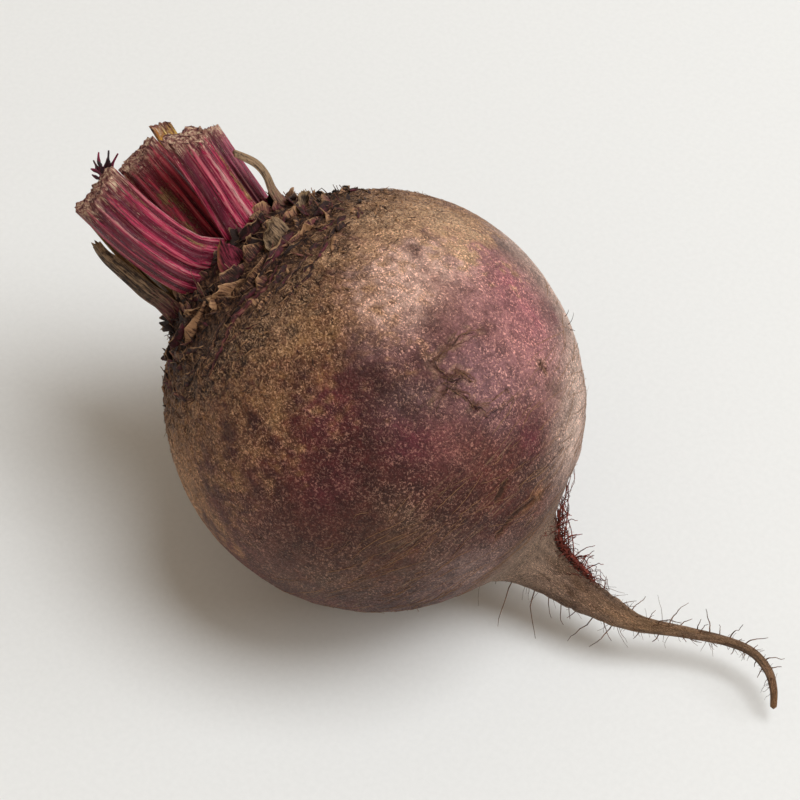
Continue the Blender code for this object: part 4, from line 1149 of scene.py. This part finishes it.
# %% Torn scales round the crown
def sheets(foot, rise, outward, width, height, curl, bend, draw, seed, rows=6, columns=10):
    """Many torn sheets at once, each a flat ellipse carried up from its foot along rise, curled
    outwards with the square of the share and bent across with the square of the place. All
    arguments up to bend are arrays over the sheets. Returns points, grain, part and faces."""
    count = len(foot)
    share = np.linspace(0, 1, rows)[None, :, None]
    turn = (2 * math.pi * np.arange(columns) / columns)[None, None]
    each, width, height, curl, bend = (
        values[:, None, None] for values in (np.arange(count), width, height, curl, bend))
    half = width / 2 * (0.8 + 0.35 * np.sin(2.6 * share + 0.4) - 0.55 * share ** 3
                        + 0.14 * np.sin(7 * share + 2.3 * each))
    place = half * np.cos(turn)
    marks = np.stack([place + 9.7 * each, 0 * place + 3.1 * each, 0 * place], -1)
    torn = 0.5 + 0.7 * noise(marks, 2.4, seed) + 0.55 * noise(marks, 0.8, seed + 1)
    lower = share * (1 - 0.5 * torn * smoothstep(0.1, 1.0, share))
    across = unit(np.cross(rise, outward))
    ripple = noise(marks + np.stack([0 * place, 0 * place, 2.0 * lower + 0 * place], -1), 0.8, seed + 2)
    folds = noise(marks * (1, 1, 0), 1.5, seed + 3)
    q = (curl * height * lower ** 2 - bend * place ** 2
         + 0.45 * folds + 0.35 * ripple * (0.3 + share) + (0.24 - 0.13 * share) * np.sin(turn))
    points = (foot[:, None, None] + across[:, None, None] * place[..., None]
              + rise[:, None, None] * (lower * height)[..., None]
              + outward[:, None, None] * q[..., None])
    grain = np.stack([place, 0.3 * np.sin(turn) + 0 * place, lower * height + 0 * place], -1)
    grain = grain + 5.3 * each[..., None]
    at_side = 0.8 * smoothstep(0.9, 1, np.abs(np.cos(turn))) * smoothstep(0.1, 0.5, share)
    edge = np.maximum(smoothstep(0.82, 1.0, share) + 0 * place, at_side + 0 * place)
    # Each sheet is darker towards its foot: painted shade under the sheets that overlap it.
    shade = draw.uniform(-0.7, 1.1, (count, 1, 1)) - 0.5 * (1 - share)
    tint = draw.choice([0.1, 0.3, 0.5, 0.7], (count, 1, 1)) * (1 - 0.5 * share)
    part = np.stack([shade + 0 * place, tint + 0 * place, edge], -1)
    return closed_grids(points), closed_grids(grain), closed_grids(part), many_faces(count, rows, columns)


# Station, height, width and turn off the skin of each ring of old leaf bases
RINGS = ((-40.8, 3.6, 5.0, 1.5), (-39.7, 3.4, 6.0, 1.4), (-38.4, 3.2, 6.5, 1.3), (-37.0, 2.8, 7.0, 1.2),
         (-35.6, 2.4, 7.0, 1.2), (-34.2, 2.0, 6.5, 1.1), (-32.8, 1.6, 5.5, 1.0), (-31.4, 1.2, 4.5, 0.8),
         (-30.0, 0.9, 3.5, 0.7))


def scales():
    """Rings of old leaf bases torn down to low sheets. Each ring overlaps the next like roof
    tiles; every sheet leans out by its own angle and is bent round the neck."""
    draw = np.random.default_rng(41)
    facts = []
    for place, height, width, off in RINGS:
        round_it = 2 * math.pi * float(profile_radius(np.array(place)))
        many = int(1.2 * round_it / width)
        angles = 2 * math.pi * (np.arange(many) + draw.uniform(-0.35, 0.35, many)) / many
        angles = angles + draw.uniform(0, 6)
        facts.append(np.stack([
            place + draw.normal(0, 0.4, many), angles, height * draw.uniform(0.4, 1.2, many),
            width * draw.uniform(0.5, 1.2, many), off * draw.uniform(0.35, 1.1, many)], -1))
    facts = np.vstack(facts)
    facts[:, 2] *= 1 - 0.45 * lobe(facts[:, 1], -38, 26) * smoothstep(-36, -39, facts[:, 0])
    away = turned_from(facts[:, 1], math.radians(SLATE_HOLLOW[1]))
    bare = np.hypot(facts[:, 0] - SLATE_HOLLOW[0], np.degrees(away) * 0.4) < 3.0
    where, angles, height, width, off = facts[~bare].T
    foot, normal = on_skin(where, angles, -0.15)
    to_crown = crownwards(normal)
    sideways = np.cross(normal, to_crown)
    veer = draw.normal(0, 0.3, len(where))[:, None]
    rise = unit(to_crown * np.cos(off)[:, None] + normal * np.sin(off)[:, None] + sideways * veer)
    outward = unit(normal - rise * (normal * rise).sum(1, keepdims=True) - 0.25 * to_crown)
    bend = 0.5 / np.maximum(profile_radius(where), 8)
    curl = draw.uniform(-0.1, 0.65, len(where))
    points, grain, part, faces = sheets(foot, rise, outward, width, height, curl, bend, draw, 43)
    return make_piece("collar_scales", points, faces, HUSK, {"grain": grain, "part": part})


scales()


# %% Shreds
def strand_values(paths, sides, shade, tint, edge):
    """Grain and part attributes for swept strands: mm across and along, and three shares each."""
    count = len(paths)
    passed = np.cumsum(np.linalg.norm(np.diff(paths, axis=1), axis=2), 1)
    along = np.concatenate([np.zeros((count, 1)), passed], 1)
    turn = 2 * math.pi * (np.arange(sides) + 0.5) / sides
    grain = np.stack([0.5 * np.cos(turn) + 0 * along[..., None], 0.2 * np.sin(turn) + 0 * along[..., None],
                      along[..., None] + 0 * turn], -1) + 3.1 * np.arange(count)[:, None, None, None]
    part = np.stack([shade[:, None, None] + 0 * grain[..., 0], tint[:, None, None] + 0 * grain[..., 0],
                     edge[None, :, None] + 0 * grain[..., 0]], -1)
    return closed_grids(grain), closed_grids(part)


def strands(name, slot, paths, wide, thick, facing, sides, shade, tint, edge):
    """A piece of dry husk made of swept strands."""
    points, faces = sweep(paths, wide, thick, facing, sides)
    grain, part = strand_values(paths, sides, shade, tint, edge)
    return make_piece(name, points, faces, HUSK, {"grain": grain, "part": part})


def shreds():
    """Small torn strips on the collar: each starts on the skin and curls up and outwards."""
    draw = np.random.default_rng(17)
    count, rows = 170, 6
    where = -29.0 - 12.5 * draw.beta(1.6, 1.5, count)
    degrees = draw.uniform(0, 360, count)
    base = root_point(where, np.radians(degrees))
    normal = root_normal(where, np.radians(degrees))
    to_crown = crownwards(normal)
    sideways = np.cross(normal, to_crown)
    size = draw.uniform(0.5, 1.0, count) * np.interp(where, (-41, -36, -27), (3.4, 2.6, 1.0))
    veer = draw.normal(0, 0.75, count)
    flat_way = unit(to_crown * np.cos(veer)[:, None] + sideways * np.sin(veer)[:, None])
    rise = draw.uniform(0.1, 1.0, count) * np.interp(where, (-41, -27), (1.0, 0.45))
    curl = draw.uniform(-0.2, 0.8, count)
    t = np.linspace(0, 1, rows)[None, :, None]
    paths = (base[:, None] - normal[:, None] * 0.1 + size[:, None, None] * (
        flat_way[:, None] * t + normal[:, None] * (rise[:, None, None] * t + curl[:, None, None] * t ** 2)
        + sideways[:, None] * draw.normal(0, 0.25, (count, 1, 1)) * t ** 2))
    wide = size[:, None] * draw.uniform(0.04, 0.2, (count, 1)) * (1.05 - t[..., 0] ** 2) * (
        1 + 0.3 * draw.normal(size=(count, rows)))
    wide = np.clip(wide, 0.06, 0.9)
    facing = unit(normal[:, None] - flat_way[:, None] * (0.6 * t))
    shade, tint = draw.uniform(-0.4, 0.7, count), draw.choice([0.0, 0.3, 0.6], count)
    return strands("collar_shreds", "husk", paths, wide, np.full_like(wide, 0.08), facing, 6,
                   shade, tint, np.linspace(0, 0.7, rows))


shreds()


# %% Loose fibres
def fibres():
    """Loose fibres that lie over the cork: wandering lines just above the skin, lifting at an end."""
    draw = np.random.default_rng(23)
    count, rows = 700, 6
    where = -18 - 22 * draw.beta(2.4, 1.5, count)
    degrees = draw.uniform(0, 360, count)
    length = draw.uniform(0.8, 3.2, count)
    way = draw.uniform(0, 2 * math.pi, count) * 0.5 + draw.choice([0.0, math.pi / 2], count)
    t = np.linspace(-0.5, 0.5, rows)[None]
    radius_here = np.maximum(profile_radius(where), 4)[:, None]
    bend = draw.normal(0, 0.8, (count, 1)) * (t ** 2) + draw.normal(0, 0.10, (count, rows))
    down = length[:, None] * (np.cos(way)[:, None] * t - np.sin(way)[:, None] * bend * 0.5)
    round_it = length[:, None] * (np.sin(way)[:, None] * t + np.cos(way)[:, None] * bend * 0.5)
    stations = np.clip(where[:, None] + down, -42.0, -10)
    angles = degrees[:, None] + np.degrees(round_it / radius_here)
    lift = 0.06 + (draw.uniform(0, 0.9, (count, 1)) * np.maximum(t, 0) ** 2
                   * draw.choice([0.2, 1, 3.5], (count, 1)))
    paths, facing = on_skin(stations, np.radians(angles), lift)
    thick = draw.uniform(0.04, 0.09, (count, 1)) * (1 - 0.6 * np.abs(2 * t) ** 3)
    shade, tint = draw.uniform(-0.2, 1.1, count), draw.choice([0.0, 0.0, 0.3, 0.5], count)
    return strands("collar_fibres", "husk", paths, thick, thick * 0.8, facing, 3,
                   shade, tint, np.full(rows, 0.3))


fibres()


# %% Crumbs of cork
def flakes():
    """Curled crumbs of cork: short strips that start in the skin and turn up and over. They are
    thickest near the crown and thin out where the cork does."""
    draw = np.random.default_rng(29)
    many, rows = 15000, 5
    where, degrees = draw.uniform(-37, 8, many), draw.uniform(0, 360, many)
    corky_to = cork_edge(np.radians(degrees))
    likely = (0.7 * smoothstep(corky_to + 3, corky_to - 9, where)
              * (0.3 + 0.7 * smoothstep(-18, -27, where)) * (1 - 0.6 * smoothstep(-31, -35, where)))
    keep = draw.uniform(size=many) < likely * np.cos(np.radians(where * 1.4))
    where, angles = where[keep], np.radians(degrees[keep])
    count = len(where)
    base, normal = on_skin(where, angles)
    way = draw.uniform(0, 2 * math.pi, count)[:, None]
    to_crown = crownwards(normal)
    flat_way = to_crown * np.cos(way) + np.cross(normal, to_crown) * np.sin(way)
    size = draw.uniform(0.35, 1.0, count) ** 1.5
    size = (size * np.interp(where, (-36, -28, -22, -16), (1.5, 1.5, 1.0, 0.6)))[:, None]
    t = np.linspace(0, 1, rows)[None]
    rise = draw.uniform(0.0, 0.85, (count, 1)) ** 1.3
    bow = draw.normal(0, 0.7, (count, 1)) * t ** 2 + draw.normal(0, 0.05, (count, rows))
    paths = base[:, None] + (size * t)[..., None] * flat_way[:, None] + (
        size * bow)[..., None] * np.cross(normal, flat_way)[:, None] + (
        size * rise * (t - 0.75 * t ** 2) + 0.12 * t - 0.06)[..., None] * normal[:, None]
    wide = size * draw.uniform(0.05, 0.24, (count, 1)) * (1 - 0.75 * t ** 2)
    facing = np.broadcast_to(normal[:, None], paths.shape)
    shade, tint = draw.uniform(0.1, 1.7, count), draw.choice([0.0, 0.1, 0.4], count)
    return strands("cork_flakes", "skin", paths, wide + 0.02, np.full_like(wide, 0.04), facing, 4,
                   shade, tint, np.linspace(0.1, 0.8, rows))


flakes()

# %% Threads on the skin
THREAD_R = 38  # mm: the radius of the skin where the threads run


def veins():
    """Dried threads stuck to the skin: most run round the root in its tail half, where the skin
    wrinkles, and bundles of them follow the healed cracks."""
    draw = np.random.default_rng(31)
    count, rows = 420, 14
    t = np.linspace(-0.5, 0.5, rows)[None]
    where = 38 - 34 * draw.beta(1.3, 1.7, count)
    length = draw.uniform(3.0, 16.0, count) * draw.uniform(0.4, 1.0, count)
    slope = draw.normal(0.1, 0.2, count)[:, None]
    shake = np.cumsum(draw.normal(0, 0.07, (count, rows)), 1)
    stations = where[:, None] + length[:, None] * t * slope + shake + draw.normal(0, 1.2, (count, 1)) * t ** 2
    angles = draw.uniform(0, 2 * math.pi, count)[:, None] + length[:, None] * t / profile_radius(stations)
    stations, angles = [stations], [angles]
    for line in HEALED + SCARS[1:] + THREADED:
        bundle, fanned, longest = (20, 1.3, 0.6) if line in HEALED else (6, 0.3, 1.0)
        t = np.linspace(0, 1, rows)[None]
        fan = draw.normal(0, fanned, (bundle, 1)) * (t - 0.5)
        s, a = np.array(line, float).T
        passed = np.cumsum(np.hypot(np.diff(s), np.radians(np.diff(a)) * THREAD_R))
        knots = np.concatenate([[0], passed])
        first = draw.uniform(-0.1, 0.9, (bundle, 1))
        place = (first + draw.uniform(0.1, longest, (bundle, 1)) * t) * knots[-1]
        wave = np.cumsum(draw.normal(0, 0.09, (bundle, rows)), 1)
        stations.append(np.interp(place, knots, s) + draw.normal(0, 0.45, (bundle, 1)) + wave + fan)
        aside = draw.normal(0, 0.35, (bundle, 1)) + np.cumsum(draw.normal(0, 0.09, (bundle, rows)), 1)
        angles.append(np.radians(np.interp(place, knots, a)) + aside / THREAD_R)
    stations, angles = np.vstack(stations), np.vstack(angles)
    many = len(stations)
    t = np.linspace(-1, 1, rows)[None]
    lift = 0.03 + draw.uniform(0, 0.9, (many, 1)) ** 4 * np.maximum(t, 0) ** 2
    paths, facing = on_skin(stations, angles, lift)
    thick = draw.uniform(0.03, 0.07, (many, 1)) * (1 - 0.5 * t ** 4)
    alone = np.arange(many) < count
    shade = np.where(alone, draw.uniform(0.6, 1.9, many), draw.uniform(-0.2, 1.3, many))
    tint = np.where(alone, 0.0, draw.choice([0.0, 0.4, 0.6], many))
    return strands("skin_threads", "skin", paths, thick, thick * 0.7, facing, 3,
                   shade, tint, np.full(rows, 0.35))


veins()

# %% Rims and single hairs
# Single hairs that stand off the skin: station, degrees, length, lean along and across, half
# thickness
STRAYS = np.array((
    (-33.9, 50, 3.0, 0.5, -0.5, 0.16), (-36.8, 62, 2.2, 0.6, 0.3, 0.14), (-35.6, 56, 1.4, 0.3, 0.5, 0.12),
    (-37.4, -112, 3.4, -0.8, -0.6, 0.16), (-36.2, -108, 2.4, -0.6, 0.5, 0.14),
    (-34.8, -106, 2.0, -0.5, -0.3, 0.12), (-38.2, -100, 2.8, 0.3, -0.9, 0.12),
    (-28.0, -110, 1.0, 0.2, 0.2, 0.3), (11.6, 44, 1.8, 0.9, 0.2, 0.1), (13.0, 43, 2.6, 1.1, -0.1, 0.08),
    (14.0, 42.5, 1.2, -0.6, 0.3, 0.1), (-31.5, 59, 0.8, 0.2, 0.1, 0.22), (-29.6, 58, 0.7, 0.1, 0.3, 0.26),
    (-30.5, 60, 0.6, -0.3, 0.0, 0.24), (-27.5, 57, 0.6, 0.0, 0.2, 0.2), (-33, 160, 2.6, 0.5, 0.4, 0.14),
    (-35, -160, 3.0, 0.3, -0.6, 0.14), (-34, 110, 2.2, 0.6, 0.2, 0.12)))


# Long rims that run round the neck: (station, degrees) points, half width, red tint
RIMS = ((((-28.8, -66), (-30.6, -58), (-32.4, -46), (-32.9, -37), (-33.0, -26), (-33.6, -14)), 0.42, 0.9),
        (((-30.4, -72), (-31.8, -62), (-33.8, -50), (-34.4, -40)), 0.3, 0.3),
        (((-31.0, -30), (-31.2, -20), (-31.8, -8), (-32.6, 4)), 0.3, 0.1),
        (((-29.6, -14), (-30.0, -2), (-30.8, 10), (-30.6, 20)), 0.26, 0.6),
        (((-35.2, -30), (-35.0, -18), (-35.6, -6), (-36.0, 8)), 0.36, 0.2),
        (((-33.4, 14), (-34.0, 26), (-33.4, 40)), 0.34, 0.5),
        (((-27.4, -78), (-28.4, -90), (-29.8, -102)), 0.3, 0.7),
        (((-33.0, 120), (-32.0, 140), (-33.2, 158)), 0.36, 0.5),
        (((-31.0, -170), (-32.4, -150), (-31.6, -132)), 0.36, 0.4))


def rims():
    """Each rim is one strand along a smooth curve through its points, thickest in its middle."""
    draw = np.random.default_rng(37)
    rows = 60
    place = np.linspace(0, 1, rows)
    parts = []
    for line, half, tint in RIMS:
        knots = np.array([(s, a, 0.0) for s, a in line])
        s, a, _ = through(knots, place * (len(line) - 1)).T
        s = s + np.cumsum(draw.normal(0, 0.05, rows))
        paths, facing = on_skin(s, np.radians(a), 0.05 + 0.12 * np.sin(9 * place + half * 30))
        wide = half * (0.3 + 0.7 * np.sin(math.pi * place)) * (1 + 0.5 * noise(paths, 0.9, 38, 2))
        points, faces = sweep(paths[None], wide[None], wide[None] * 1.1, facing[None], 10)
        points = points + 0.12 * np.stack([noise(points, 0.5, 40 + k) for k in range(3)], -1)
        grain, part = strand_values(paths[None], 10, np.array([0.3]), np.array([0.6 * tint]),
                                    0.2 + 0.25 * np.sin(23 * place))
        parts.append((points, faces, np.hstack([grain, part])))
    points, faces, values = join(parts)
    return make_piece("collar_rims", points, faces, HUSK, {"grain": values[:, :3], "part": values[:, 3:]})


def strays():
    """Each hair rises along the skin's normal and bends over with the square of the share."""
    where, degrees, length, lean, veer, thick = STRAYS.T
    angles = np.radians(degrees)
    base, normal = root_point(where, angles), root_normal(where, angles)
    to_crown = crownwards(normal)
    across = np.cross(normal, to_crown)
    t = np.linspace(0, 1, 10)[None, :, None]
    bow = to_crown * lean[:, None] + across * veer[:, None]
    paths = base[:, None] - 0.2 * normal[:, None] + length[:, None, None] * (
        normal[:, None] * (t - 0.25 * t ** 3) + bow[:, None] * t ** 2 * (1.2 - 0.6 * t))
    wide = thick[:, None] * (1 - 0.75 * t[..., 0])
    facing = np.broadcast_to(across[:, None], paths.shape)
    return strands("stray_hairs", "husk", paths, wide, wide * 0.8, facing, 6,
                   np.full(len(where), 0.1), np.full(len(where), 0.3), np.zeros(10))


rims()
strays()

# %% [markdown]
# ## Rootlets
#
# Beetroot drinks through fine side roots, most of them in two furrows down the tail. When the
# plant is pulled up most of them break off short. They dry red-brown and curl. The larger ones
# follow the CAD; many finer ones are drawn between them.

# %% The rootlets' finish and shapes
def rootlet_skin(name, dark, light):
    """Fine dried side roots. To the eye: matt, red-brown, paler where light comes along them."""
    look, tree, shader = new_material(name, IOR=1.4)
    grit = add(tree, "TexNoise", {"Vector": add(tree, "TexCoord", out=3), "Scale": 900.0, "Detail": 3.0})
    colour = add(tree, "ValToRGB", {0: grit}, stops=((0.35, dark), (0.65, light)))
    rough = add(tree, "MapRange", {0: grit, 1: 0.3, 2: 0.7, 3: 0.85, 4: 0.6})
    connect(tree, shader, colour, rough, grit)
    return look


ROOTLET = rootlet_skin("side rootlet, dried", "3a2216", "7c5438")
RED_HAIR = rootlet_skin("root hair, red-brown", "300f09", "8c3c2c")
MAT_FROM, MAT_TO = 40.5, 55.5  # stations that the hair mat covers
ROOTS_FROM, ROOTS_OVER, ROOT_DRAWS = 39, 58, 50  # first station, mm along, and how many are drawn


def main_rootlets():
    """The larger side roots, in the places and directions that the CAD's own draw gives."""
    draw = random.Random(11)
    rows = []
    for k in range(ROOT_DRAWS):
        where = ROOTS_FROM + ROOTS_OVER * (k + draw.random()) / ROOT_DRAWS
        near = 1 - (where - ROOTS_FROM) / ROOTS_OVER
        degrees = FURROWS[k % 2] + draw.uniform(-26, 26) if draw.random() < 0.7 else draw.uniform(0, 360)
        length = 1.2 + (2.2 + 4.4 * near) * draw.random() ** 2
        if where > MAT_TO + 2 or abs((degrees - FURROWS[0] + 180) % 360 - 180) > 55:
            rows.append((where, degrees, length, draw.uniform(-0.5, 0.9), draw.uniform(-0.6, 0.6)))
    return np.array(rows)


def fine_rootlets(count, seed):
    """Many short thin rootlets: the same kind of draw, with most of them in the furrows."""
    draw = np.random.default_rng(seed)
    where = 37 + 63 * draw.uniform(0, 1, count) ** 0.9
    side = np.array(FURROWS)[draw.integers(0, 2, count)] + draw.normal(0, 22, count)
    degrees = np.where(draw.uniform(size=count) < 0.72, side, draw.uniform(0, 360, count))
    length = 0.35 + 2.6 * draw.uniform(size=count) ** 2.5 * np.interp(where, (37, 70, 100), (1.2, 0.8, 0.6))
    lean, bend = draw.uniform(-0.6, 1.1, count), draw.uniform(-0.9, 0.9, count)
    return np.stack([where, degrees, length, lean, bend], -1)


def rootlet_paths(table, rows, wiggle, seed):
    """Lines that leave the tail at right angles and bend with the square of the share, with a
    little seeded wandering that grows towards the tip."""
    where, degrees = table[:, :2].T
    length, lean, bend = table.T[2:, :, None, None]
    out, ahead = (vectors[:, None] for vectors in root_frame(where, np.radians(degrees)))
    across = np.cross(ahead, out)
    thick = profile_radius(where)[:, None, None]
    t = np.linspace(0, 1, rows)[None, :, None]
    start = spine(where)[:, None] + out * thick * 0.35
    reach = thick * 0.65 + length
    wander = np.cumsum(np.random.default_rng(seed).normal(0, 1, (len(where), rows, 3)), 1)
    wander = (wander - wander[:, :1]) * wiggle * t
    paths = start + reach * (out * t + (ahead * lean + across * bend) * t ** 2) + wander * length
    return paths, np.broadcast_to(out, paths.shape)


def rootlets(name, table, rows, foot, tip, wiggle, seed, look, sides=4):
    """Swept tubes along the paths, leaving out those that would reach the surface below."""
    paths, facing = rootlet_paths(table, rows, wiggle, seed)
    keep = paths[..., 2].min(1) > 1.2
    paths, facing = paths[keep], facing[keep]
    t = np.linspace(0, 1, rows)[None]
    thick = (foot[keep] if np.ndim(foot) else np.full(len(paths), foot))[:, None] * (1 - t) + tip * t
    points, faces = sweep(paths, thick, thick, facing, sides)
    return make_piece(name, points, faces, look)


rootlets("side_rootlets", main_rootlets(), 10, 0.16, 0.05, 0.045, 71, ROOTLET)
fine_table = fine_rootlets(170, 72)
thin_feet = np.random.default_rng(73).uniform(0.05, 0.1, len(fine_table))
rootlets("fine_rootlets", fine_table, 8, thin_feet, 0.03, 0.09, 74, ROOTLET, 3)


# %% The mat of red hairs where the tail begins
def hair_mat():
    """A rough cushion in the upper furrow: an ellipse carried along it, its size the sine of the
    share, with noise on it; then the bridging and loose hairs, and finer ones woven between."""
    rows, columns = 40, 30
    share = np.linspace(0, 1, rows)
    where = MAT_FROM + (MAT_TO - MAT_FROM) * share
    angle = math.radians(FURROWS[0])
    foot = root_point(where, angle, 1.2)
    out, ahead = root_frame(where, angle)
    across = np.cross(ahead, out)
    turn = 2 * math.pi * np.arange(columns) / columns
    size = np.sin(math.pi * (0.12 + 0.8 * share)) ** 0.6
    wide = (1.1 + 0.12 * np.sin(7 * share * math.pi)) * size
    ring = (across[:, None] * (wide[:, None] * np.cos(turn))[..., None]
            + out[:, None] * (0.62 * size[:, None] * np.sin(turn))[..., None])
    rough = 0.8 + 0.55 * noise(foot[:, None] + ring, 0.5, 61, 2)
    cushion = foot[:, None] + ring * rough[..., None]

    draw = random.Random(8)
    lines = []
    t = np.linspace(0, 1, 9)[:, None]
    for k in range(22):
        if k < 6:
            first, turned = 43.0 + 1.6 * k, FURROWS[0] + draw.uniform(-9, 9)
            start = root_point(first, math.radians(turned), 1.0)
            out_here, _ = root_frame(first, math.radians(turned))
            last = 39.5 - draw.uniform(0.0, 3.2)
            end = root_point(last, math.radians(FURROWS[0] + draw.uniform(-8, 14)), 0.3)
            bow = out_here * draw.uniform(0.1, 0.9)
        else:
            here = draw.uniform(42.0, 54.5)
            start = root_point(here, angle, 1.1)
            out_here, ahead_here = root_frame(here, angle)
            side = np.cross(ahead_here, out_here)
            reach = out_here * draw.uniform(1.6, 4.6) + side * draw.uniform(-1.0, 1.0)
            end = start + reach + ahead_here * draw.uniform(-1.2, 3.0)
            bow = side * draw.uniform(-0.5, 0.5) + 0.5 * out_here - 0.3 * ahead_here
        lines.append(start + (end - start) * t + bow * 4 * t * (1 - t))
    lines = np.array(lines)
    wander = np.cumsum(np.random.default_rng(62).normal(0, 0.22, lines.shape), 1)
    lines = lines + (wander - wander[:, :1]) * (t * (1 - 0.5 * t))
    thick = np.broadcast_to(0.13 - 0.07 * t[:, 0], lines.shape[:2])
    facing = np.broadcast_to(unit(out[rows // 2]), lines.shape)
    main_points, main_faces = sweep(lines, thick, thick, facing, 5)

    random_draw = np.random.default_rng(63)
    count = 105
    here = random_draw.uniform(36.8, 56.5, count) + 1.5 * random_draw.uniform(0, 1, count)
    turned = angle + random_draw.normal(0, 0.22, count) * np.interp(here, (37, 45), (1.8, 1.0))
    t = np.linspace(-0.5, 0.5, 9)[None]
    span = random_draw.uniform(1.5, 6.0, count)[:, None]
    way = random_draw.normal(0, 0.7, count)[:, None]
    stations = here[:, None] + span * t * np.cos(way) + random_draw.normal(0, 0.08, (count, 9))
    around = turned[:, None] + (span * t * np.sin(way) + 0.6 * np.sin(5 * t + way)) / profile_radius(
        here)[:, None]
    lift = 0.1 + random_draw.uniform(0.2, 2.9, (count, 1)) * (1 - 3.6 * t ** 2)
    lift = lift + random_draw.normal(0, 0.2, (count, 9))
    normals = root_normal(stations, around)
    net = root_point(stations, around) + normals * lift[..., None]
    thin = random_draw.uniform(0.04, 0.09, (count, 1)) + 0 * t
    net_points, net_faces = sweep(net, thin, thin, normals, 3)

    cushion_points = closed_grids(cushion[None])
    points, faces, _ = join(((cushion_points, tube_faces(rows, columns), cushion_points),
                             (main_points, main_faces, main_points), (net_points, net_faces, net_points)))
    return make_piece("root_hair_mat_fine", points, faces, RED_HAIR,
                      replaces=["root_hair_mat"])


hair_mat()

# %% [markdown]
# ## Surface, light and camera
#
# A pale, matt surface; a large soft lamp high up and a little behind, which draws the soft shadow
# towards the viewer; a lower, wider one that fills from the right; and a weak even light from all
# round, so that no side is black.

# %% The surface it lies on
CARD_SIDE = 3.0  # half its side in m


def surface():
    """A level sheet much larger than the object, in matt pale card with a faint tooth."""
    look, tree, shader = new_material("pale card, matt", IOR=1.45, Specular_IOR_Level=0.2)
    tooth = add(tree, "TexNoise", {"Vector": add(tree, "TexCoord", out=3), "Scale": 900.0, "Detail": 3.0})
    colour = add(tree, "ValToRGB", {0: tooth}, stops=((0.3, "e8e6e3"), (0.7, "ebe9e6")))
    rough = add(tree, "MapRange", {0: tooth, 1: 0.3, 2: 0.7, 3: 0.9, 4: 0.8})
    connect(tree, shader, colour, rough)
    corners = [(-CARD_SIDE, -CARD_SIDE, 0), (CARD_SIDE, -CARD_SIDE, 0), (CARD_SIDE, CARD_SIDE, 0),
               (-CARD_SIDE, CARD_SIDE, 0)]
    mesh = bpy.data.meshes.new("card_surface")
    mesh.from_pydata(corners, [], [(0, 1, 2, 3)])
    mesh.materials.append(look)
    obj = bpy.data.objects.new("card_surface", mesh)
    bpy.context.scene.collection.objects.link(obj)


surface()


# %% The two soft lamps and the even fill
def panel(name, over, half_sizes, turned, power, height=2.0):
    """A level elliptic softbox this high, facing down. over is where it hangs, in heights along
    x and y from the bulb; half_sizes are in heights as well."""
    lamp = bpy.data.lights.new(name, "AREA")
    lamp.shape, lamp.energy, lamp.color = "ELLIPSE", power, linear("f2f9ff")[:3]
    lamp.size, lamp.size_y = (2 * half * height for half in half_sizes)
    obj = bpy.data.objects.new(name, lamp)
    obj.location = (over[0] * height, over[1] * height, height)
    obj.rotation_euler = (0, 0, math.radians(turned))
    obj.visible_camera = False
    bpy.context.scene.collection.objects.link(obj)


panel("key_softbox", (0.318, 0.229), (0.381, 0.248), 3, 30.5)
panel("low_softbox", (1.143, 0.597), (0.694, 0.535), 23, 59.0, 2.1)

world = bpy.data.worlds.new("soft studio")
world.use_nodes = True
bpy.context.scene.world = world
fill = world.node_tree.nodes["Background"]
seen = add(world.node_tree, "LightPath", out=0)
FILL = (0.345, 0.303, 0.248, 1.0)  # warm and weak, while the camera itself sees a pale ground
level = add(world.node_tree, "Mix", {0: seen, 6: FILL, 7: "ecebe8"}, 2, data_type="RGBA")
world.node_tree.links.new(level, fill.inputs["Color"])
bpy.context.scene.view_settings.view_transform = "Standard"


# %% The camera
CAMERA_TURN, CAMERA_RISE = math.radians(34.0), math.radians(57.5)
CAMERA_AWAY = 379.15  # mm
AIM_RIGHT, AIM_UP = 4.74, 0.09  # mm from the bulb's middle
back = np.array([math.sin(CAMERA_TURN) * math.cos(CAMERA_RISE),
                 -math.cos(CAMERA_TURN) * math.cos(CAMERA_RISE), math.sin(CAMERA_RISE)])
right = np.array([math.cos(CAMERA_TURN), math.sin(CAMERA_TURN), 0.0])
look_at = CENTRE + AIM_RIGHT * right + AIM_UP * np.cross(back, right)
lens = bpy.data.cameras.new("view")
lens.lens, lens.sensor_width = 90.0, 36.0
lens.clip_start, lens.clip_end = 0.02, 20.0
camera = bpy.data.objects.new("view", lens)
camera.location = ((look_at + back * CAMERA_AWAY) * MM).tolist()
camera.rotation_euler = Vector(back).to_track_quat("Z", "Y").to_euler()
bpy.context.scene.collection.objects.link(camera)
bpy.context.scene.camera = camera
